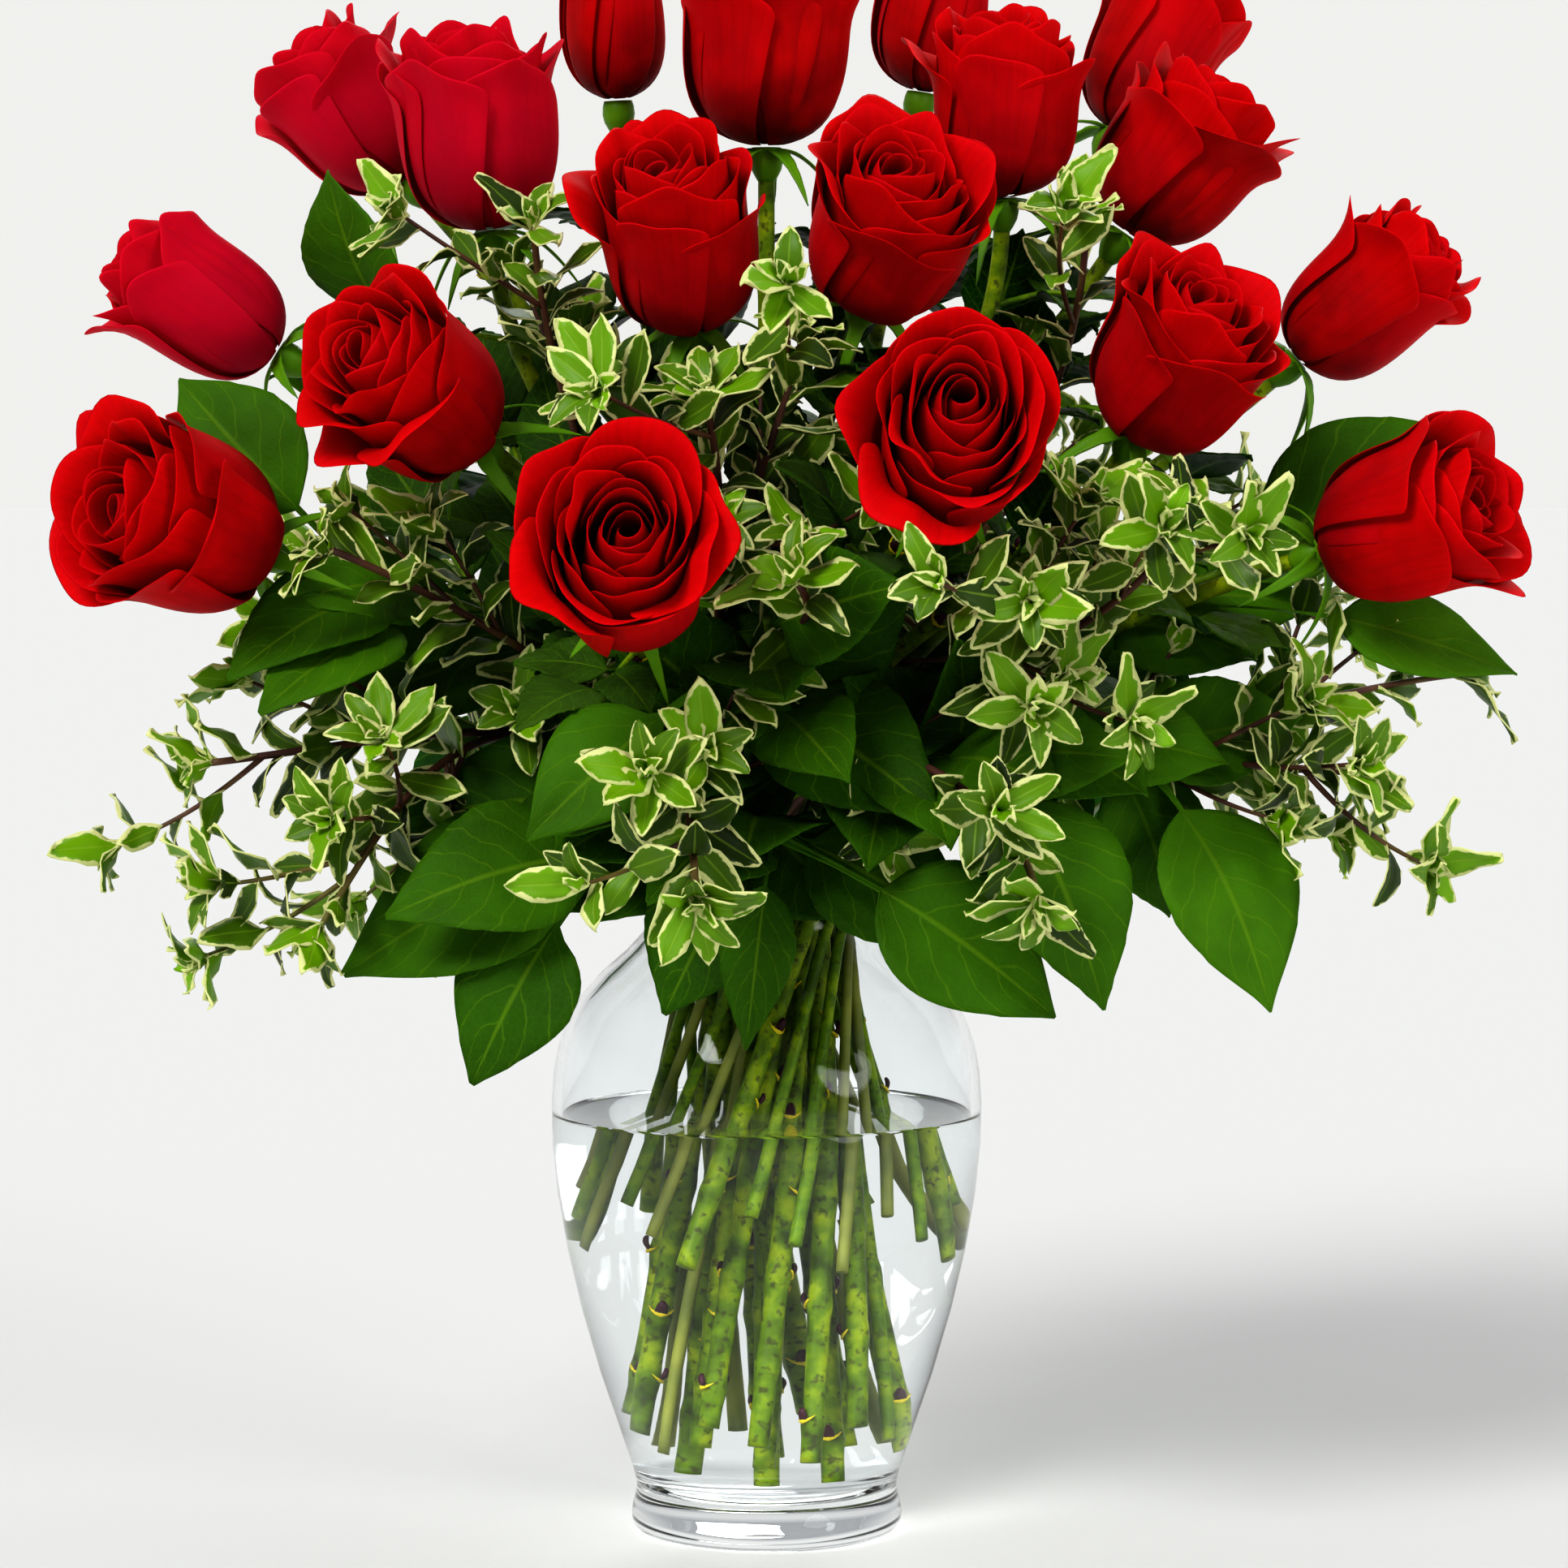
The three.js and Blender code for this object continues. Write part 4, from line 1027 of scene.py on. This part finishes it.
def more_lemon_leaves(branch, seed, wanted):
    """Leaves that the solid leaves out, lower on the branch, each where there is room."""
    found = []
    for k in range(wanted * 14):
        if len(found) == wanted:
            break
        n = seed * 911 + k * 7
        root = branch.path.curve.point_at(mix(0.3, 0.98, draw(n, 1)))
        way = Matrix.Rotation(math.radians(mix(-75, 75, draw(n, 2))), 3, "Z") @ outward(root)
        way.z = mix(-0.55, 0.75, draw(n, 3))
        tip = root + way.normalized() * mix(50, 66, draw(n, 4))
        if has_room(tip, 3) and has_room(root.lerp(tip, 0.6), 4) and claim("leaf", tip, LEAVES_APART):
            found.append(new_leaf(root, tip, mix(32, 44, draw(n, 5)), mix(0.04, 0.14, draw(n, 6)), 0.14, 1.4,
                                  leaf_facing(tip)))
    return found


def depth_shade_tint(leaf, chance):
    """Painted shade: broad leaves deep in the bouquet are coloured dark, as if shaded, and those far out
    lighter, as if lit.
    """
    middle = leaf.root.lerp(leaf.tip, 0.6)
    far = math.hypot(middle.x, middle.y)
    return min(1, max(0, (far - 60) / 110)) * mix(0.35, 1, chance)


def broad_blades(name, leaves, seed, materials, teeth):
    bm = new_bmesh()
    for k, leaf in enumerate(leaves):
        leaf.frame = leaf_frame(leaf)
        broad_leaves.append(leaf)
        leaf_sheet(bm, leaf, 10, 30, teeth=teeth, quilt=1.0, tint=depth_shade_tint(leaf, draw(seed + k, 8)))
    blades = finish_piece(name, bm, materials, [], BROAD_LEAF_THICK)
    blades.modifiers["thickness"].material_offset = 1


# Leaves of the dark collar that the solids have no room for: branch, place along it, tip, width.
COLLAR = [("front_left", 0.93, (-125, -72, 180), 50), ("middle", 0.72, (50, -108, 229), 44),
          ("front_left", 0.75, (-84, -66, 200), 44), ("front", 0.7, (26, -74, 196), 40),
          ("right_low", 0.9, (120, -60, 196), 40), ("front_left", 0.5, (-116, -36, 222), 46),
          ("left", 0.6, (-140, -30, 246), 44), ("right_low", 0.6, (92, -44, 204), 44),
          ("right", 0.6, (134, -24, 240), 46), ("middle", 0.5, (-36, -76, 296), 40),
          ("middle", 0.6, (44, -78, 300), 40)]


def lemon_branch(branch, index):
    name = branch.name
    curve = branch.path.curve
    bm = new_bmesh()
    tube(bm, branch.path, lambda u: mix(2.0, 1.3, u), 8, 90, tint=0.2)
    finish_piece(name + "_twig", bm, [STEM], [name])
    collar = [new_leaf(curve.point(share), Vector(tip), width, 0.1, 0.12, 1.2, leaf_facing(Vector(tip)),
                       stalk=0.14)
              for owner, share, tip, width in COLLAR if name == "lemon_leaf_" + owner]
    leaves = branch.found + collar + more_lemon_leaves(branch, index, EXTRA_LEMON_LEAVES)
    broad_blades(name + "_blades", leaves, index * 7, [LEMON_UNDER, LEMON_TOP], 0.6)


def rose_leaves(rose, index):
    """The leaves left on the upper stem: each a stalk with a leaflet at its end and a pair
    part way along it."""
    stalks = new_bmesh()
    leaflets = []
    curve = rose.path.curve
    made = 0
    for k in range(40):
        if made == ROSE_LEAVES:
            break
        n = index * 173 + k * 5
        share = mix(0.3, 0.9, draw(n, 1))
        root, along = curve.point_at(share), curve.tangent_at(share)
        way = fan(along, 6.283 * draw(n, 2), math.radians(mix(48, 82, draw(n, 3))))
        end = root + way * mix(20, 30, draw(n, 4))
        size = mix(36, 46, draw(n, 5))
        way = (way + Vector((0, 0, mix(-0.5, 0.3, draw(n, 6))))).normalized()
        tip = end + way * size
        clear = has_room(tip, 2) and has_room(end, 1) and has_room(end.lerp(tip, 0.5), 2)
        if not (clear and claim("leaf", tip, ROSE_LEAVES_APART)):
            continue
        made += 1
        stalk = Bend(root, root.lerp(end, 0.4), end - way * 8, end)
        tube(stalks, stalk, lambda u: mix(1.1, 0.7, u), 6, 10, 0.3)
        face = Vector((0, -0.35, 1)) + outward(root) * 0.5
        side = face.cross(way).normalized()
        fork = root.lerp(end, 0.62)
        for aside, start, share in ((0, end, 1), (1, fork, 0.8), (-1, fork, 0.8)):
            ahead = way * (0.5 if aside else 1) + side * (0.85 * aside)
            point = start + ahead.normalized() * (size * share)
            if not aside or has_room(point, 0):
                leaflets.append(new_leaf(start, point, size * share * 0.62, 0.08, 0.16, 1.1, face,
                                         stalk=0.06))
    if made:
        name = rose.name + "_leaf"
        finish_piece(name + "_stalks", stalks, [STEM], [])
        materials = [ROSE_LEAF_UNDER, ROSE_LEAF_TOP]
        broad_blades(name + "lets", leaflets, index * 11 + 300, materials, 1.0)


def twig_leaves(curve, count, seed, start):
    """The solid's own leaves on a twig: for each, the positions that it may have."""
    leaves = []
    for k in range(count):
        share = mix(start, 0.985, k / (count - 1))
        root, along = curve.point_at(share), curve.tangent_at(share)
        size = SPRAY_LEAF * mix(0.82, 1.08, draw(seed, k)) * mix(1, 0.8, (share - start) / (1 - start))
        choices = []
        for spread in (56, 38, 74):
            for j in range(8):
                a = math.radians(137.5 * k + 360 * draw(seed, 99) + 45 * j * (1 if j % 2 else -1))
                tip = root + fan(along, a, math.radians(spread)) * size
                choices.append(new_leaf(root, tip, SPRAY_WIDTH * size / SPRAY_LEAF, 0.07, 0.2, 1.3, along,
                                        spray_edge, 0))
        leaves.append(choices)
    return leaves


def small_leaf(root, along, around, spreads, sizes, seed):
    """A leaf of a spray, in millimetres and degrees, drawn within two ranges."""
    spread, size = mix(*spreads, draw(seed, 1)), mix(*sizes, draw(seed, 2))
    return new_leaf(root, root + fan(along, around, math.radians(spread)) * size,
                    size * mix(0.38, 0.52, draw(seed, 21)), mix(-0.08, 0.2, draw(seed, 22)),
                    mix(0.1, 0.4, draw(seed, 23)), mix(-1.8, 1.8, draw(seed, 24)), along, spray_edge, 0,
                    mix(-0.4, 0.55, draw(seed, 25)))


def fits(leaf):
    """Whether a small leaf is clear of the blooms and the glass, and of every broad leaf."""
    tip = leaf.tip
    points = surface(leaf)
    return (has_room(tip, 2.5) and has_room(leaf.root.lerp(tip, 0.5), 1) and not hides_bloom(tip, 7)
            and not in_front_of_vase(tip + UP * 14)
            and not any(pierces(points, broad) for broad in broad_leaves))


def dress_twig(bm, curve, seed, count, start):
    """Leaves in turn along a twig, then a whorl at its end round a few young ones."""
    for k in range(count):
        n = seed * 61 + k
        share = mix(start, 0.95, (k + 0.5) / count)
        leaf = small_leaf(curve.point_at(share), curve.tangent_at(share), LEAF_TURN * k + 6.3 * draw(seed, 3),
                          (40, 78), (16, 26), n)
        if fits(leaf):
            leaf_sheet(bm, leaf, 4, 8, tint=0.55 * draw(n, 3))
    end, along = curve.point_at(0.995), curve.tangent_at(0.99)
    for k in range(9):
        n = seed * 67 + k + 3000
        spreads, sizes = ((14, 36), (8, 14)) if k > 5 else ((38, 80), (13, 25))
        leaf = small_leaf(end, along, LEAF_TURN * k + 6.3 * draw(seed, 4), spreads, sizes, n)
        if fits(leaf):
            leaf_sheet(bm, leaf, 4, 8, tint=0.3 + 0.65 * draw(n, 3))


def side_twigs(curves, seed, wanted):
    """Short twigs that leave the main ones wherever there is room for their ends."""
    found = []
    for k in range(wanted * 16):
        if len(found) == wanted:
            break
        n = seed * 401 + k * 9
        curve = curves[k % len(curves)]
        share = mix(0.22, 0.92, draw(n, 1))
        root, along = curve.point_at(share), curve.tangent_at(share)
        size = mix(26, 60, draw(n, 2))
        way = fan(along, 6.283 * draw(n, 3), math.radians(mix(28, 72, draw(n, 4))))
        end = (way + outward(root, 60) * 0.5).normalized()
        tip = root + way * (size * 0.55) + end * (size * 0.45)
        clear = has_room(tip + end * 8, 6) and has_room(root.lerp(tip, 0.5), 1)
        hidden = hides_bloom(tip + end * 12, 0) or in_front_of_vase(tip + end * 12)
        if clear and not hidden and claim("twig", tip, TWIGS_APART):
            found.append(Bend(root, root + way * (size * 0.4), tip - end * (size * 0.35), tip))
    return found


def spray(item, index):
    name = item.name
    twigs = new_bmesh()
    tube(twigs, item.path, lambda u: mix(1.9, 1.1, u), 7, 80)
    blades = new_bmesh()
    for curve in item.curves[1:]:
        tube(twigs, curve, lambda u: mix(1.5, 0.9, u), 7, 40)
    for k, leaf in enumerate(item.found):
        leaf_sheet(blades, leaf, 4, 8, tint=0.6 * draw(index * 31, k + 200))
    for twig, curve in enumerate(item.curves):
        count, start = (11, 0.3) if twig else (13, 0.4)
        dress_twig(blades, curve, index * 5 + twig + 500, count, start)
    for k, curve in enumerate(side_twigs(item.curves, index, 7 + 3 * len(item.curves))):
        tube(twigs, curve, lambda u: mix(0.95, 0.6, u), 6, 14)
        dress_twig(blades, curve, index * 17 + k + 900, 5, 0.25)
    finish_piece(name + "_twigs", twigs, [TWIG], [name])
    finish_piece(name + "_leaves", blades, [SPRAY], [], SMALL_LEAF_THICK)


# --- vase and water

# The glass wall's two outlines as radius and height: from the foot up, and from the rim down.
VASE_OUTSIDE = [
    (0, 2.6), (12, 2.5), (24, 1.9), (32, 0.8), (35, 0), (37.5, 0), (40.4, 1.2), (41.8, 3.4), (42, 6),
    (41.5, 9), (40.5, 12.5), (40.5, 15.5), (41.6, 20), (46, 33), (51.8, 50), (57.5, 70), (61.7, 88),
    (64.8, 106), (66.3, 121), (66.5, 134), (65.9, 143), (64.4, 151.5), (61.6, 159.5), (57.2, 167),
    (50.6, 174.3), (43, 181), (37.6, 187), (35.5, 192.5), (36.4, 197), (39.5, 201.5), (44, 205.4),
    (44.8, 206.6)]
VASE_INSIDE = [
    (44.4, 207.4), (43.2, 207.4), (41.8, 206.2), (37.5, 201.8), (33.6, 197), (32.6, 192.5), (34.4, 186.6),
    (40, 179.6), (47.8, 172.5), (54.4, 165.4), (58.8, 158.2), (61.4, 151), (62.9, 143), (63.4, 134),
    (63.2, 121), (61.7, 106), (58.6, 88), (54.3, 70), (48.6, 50), (42.7, 33), (37.6, 21), (33, 16),
    (25, 13.6), (12, 13), (0, 13)]


def turned(points):
    """A closed outline of radii and heights, spun round the vase's axis."""
    bm = bmesh.new()
    verts = [bm.verts.new(Vector((r, 0, z)) * MM) for r, z in points]
    edges = [bm.edges.new(pair) for pair in zip(verts, verts[1:])]
    bmesh.ops.spin(bm, geom=verts + edges, cent=(0, 0, 0), axis=UP, angle=2 * math.pi, steps=96,
                   use_merge=True)
    bmesh.ops.remove_doubles(bm, verts=bm.verts, dist=1e-6)
    bmesh.ops.recalc_face_normals(bm, faces=bm.faces)
    for face in bm.faces:
        face.smooth = True
    return bm


def vase_and_water():
    vase = finish_piece("glass_vase", turned(VASE_OUTSIDE + VASE_INSIDE), [GLASS], ["vase"])
    # The water wets the glass: it meets the wall and creeps up it by a millimetre.
    wall = [(r + 0.3 if r else 0, z - 0.3) for r, z in reversed(VASE_INSIDE) if z < WATER_LEVEL]
    level = [(63.7, 0), (63.5, 0.9), (62.2, 0.2), (60, 0), (0, 0)]
    outline = wall + [(r, WATER_LEVEL + z) for r, z in level]
    water = finish_piece("vase_water", turned(outline), [WATER], ["water"])
    # Clear glass and water hardly dim the light on what stands behind them.
    vase.visible_shadow = water.visible_shadow = False


# --- the arrangement

roses = []
for number, (ring, middle, facing, width, length, open_share, turn) in enumerate(ROSES):
    axis = unit(facing)
    base = Vector(middle) - axis * (length / 2)
    roses.append(Record(name=f"rose_{number + 1:02d}", ring=ring, axis=axis, middle=Vector(middle), end=axis,
                        base=base, top=base - axis * (HIP_LENGTH - 1), width=width, length=length,
                        open=open_share, turn=turn, pink=0.45 if number in PINK_SHEEN_BLOOMS else 0.0))
lemons = [Record(name="lemon_leaf_" + name, ring=ring, top=Vector(tip), end=unit(points), leaves=leaves)
          for name, ring, tip, points, leaves in LEMON]
sprays = [Record(name="spray_" + name, ring=ring, top=Vector(twigs[0][0]), end=unit(twigs[0][1]), twigs=twigs,
                 curves=[], found=[])
          for name, ring, *twigs in SPRAYS]
place_stems(roses + lemons + sprays)


def stem_paths(stem):
    return [stem_path(stem, bend) for bend in BENDS]


def fork_curves(main, tip, end):
    """The curves that a spray's second twig may follow from its fork on the main one."""
    root = main.point_at(FORK)
    span = (tip - root).length
    return [Bend(root, root + main.tangent_at(FORK) * (keep * span),
                 tip - end * (follow * span) + Vector((swing, 0, rise)), tip)
            for keep, follow, swing, rise in BENDS]


def settle_branch(branch):
    """Finds a lemon branch in its solid, with the leaves that the solid has."""
    def leaves_on(path):
        return [list(lemon_choices(path, *leaf)) for leaf in branch.leaves]

    name = branch.name
    branch.path = best_path(name, stem_paths(branch), LEAF_STEM, LEAF_STEPS, leaves_on)
    branch.found = found_leaves(name, leaves_on(branch.path))
    for leaf in branch.found:
        claim("leaf", leaf.tip, 0)


def settle_spray(item, number):
    """Finds a spray's twigs in its solid, with the leaves that the solid has."""
    name = item.name
    for twig, (tip, points, count) in enumerate(item.twigs):
        start = 0.3 if twig else 0.42 if len(item.twigs) == 1 else 0.55

        def leaves_on(path):
            return twig_leaves(getattr(path, "curve", path), count, number * 3 + twig, start)

        if twig:
            paths = fork_curves(item.curves[0], Vector(tip), unit(points))
            curve = best_path(name, paths, LEAF_STEM - 0.3, FORK_STEPS, leaves_on)
        else:
            item.path = best_path(name, stem_paths(item), LEAF_STEM, LEAF_STEPS, leaves_on)
            curve = item.path.curve
        item.found += found_leaves(name, leaves_on(curve))
        item.curves.append(curve)
        claim("twig", curve.point_at(1), 0)


# The solid's own leaves come first, then every other twig and leaf finds room between them.
for rose in roses:
    rose.path = best_path(rose.name + "_stem", stem_paths(rose), ROSE_STEM, ROSE_STEPS)
for branch in lemons:
    settle_branch(branch)
for number, item in enumerate(sprays):
    settle_spray(item, number)

vase_and_water()
for number, rose in enumerate(roses):
    bloom(rose, number)
    rose_green(rose, number)
for number, branch in enumerate(lemons):
    lemon_branch(branch, number)
for number, rose in enumerate(roses):
    rose_leaves(rose, number)
for number, item in enumerate(sprays):
    spray(item, number)

# --- floor and light

bm = bmesh.new()
bmesh.ops.create_circle(bm, cap_ends=True, segments=96, radius=40)
paper, _ = new_material("pale_paper_floor")
finish_material(paper, {"Base Color": "#E2E2E0", "Roughness": 0.9, "Specular IOR Level": 0.0})
as_object("floor", bm, [paper])


def soft_light(name, place, breadth, power):
    """A broad lamp far off, which lights the whole floor evenly."""
    data = bpy.data.lights.new(name, "SUN")
    data.angle = math.radians(breadth)
    data.energy = power
    aim(add_object(name, data), place, (0, 0, 0.28))


soft_light("key", (-1.9, -3.0, 3.0), 24, 2.0)
soft_light("fill", (2.4, -2.4, 1.5), 30, 0.9)
soft_light("back", (0.5, 2.6, 2.2), 30, 0.9)

# A pale room: as bright at eye level as the far floor, dimmer above and dark behind the camera,
# so that little of it shows in the glass and on the leaves.
world = bpy.data.worlds.new("studio")
bpy.context.scene.world = world
world.use_nodes = True
sky = world.node_tree
way = node(sky, "TexCoord").outputs["Generated"]
parts = node(sky, "SeparateXYZ", links={0: way})
shade = node(sky, "ValToRGB", {
    "stops": [(0.0, "#DFDFDD"), (0.1, "#DFDFDD"), (0.3, "#A0A2A4"), (1.0, "#B4B6B8")]}, {0: parts.outputs[2]})
front = node(sky, "MapRange", {1: -0.7, 2: 0.1, 3: 0.25, 4: 1.0}, {0: parts.outputs[1]})
dimmed = node(sky, "Mix", {**MULTIPLY, "Factor": 1.0}, {"A": shade, "B": front})
sky.links.new(dimmed.outputs["Result"], sky.nodes["Background"].inputs[0])
sky.nodes["Background"].inputs[1].default_value = 1.0
bpy.context.scene.view_settings.view_transform = "Standard"
bpy.context.scene.view_settings.look = "Medium High Contrast"
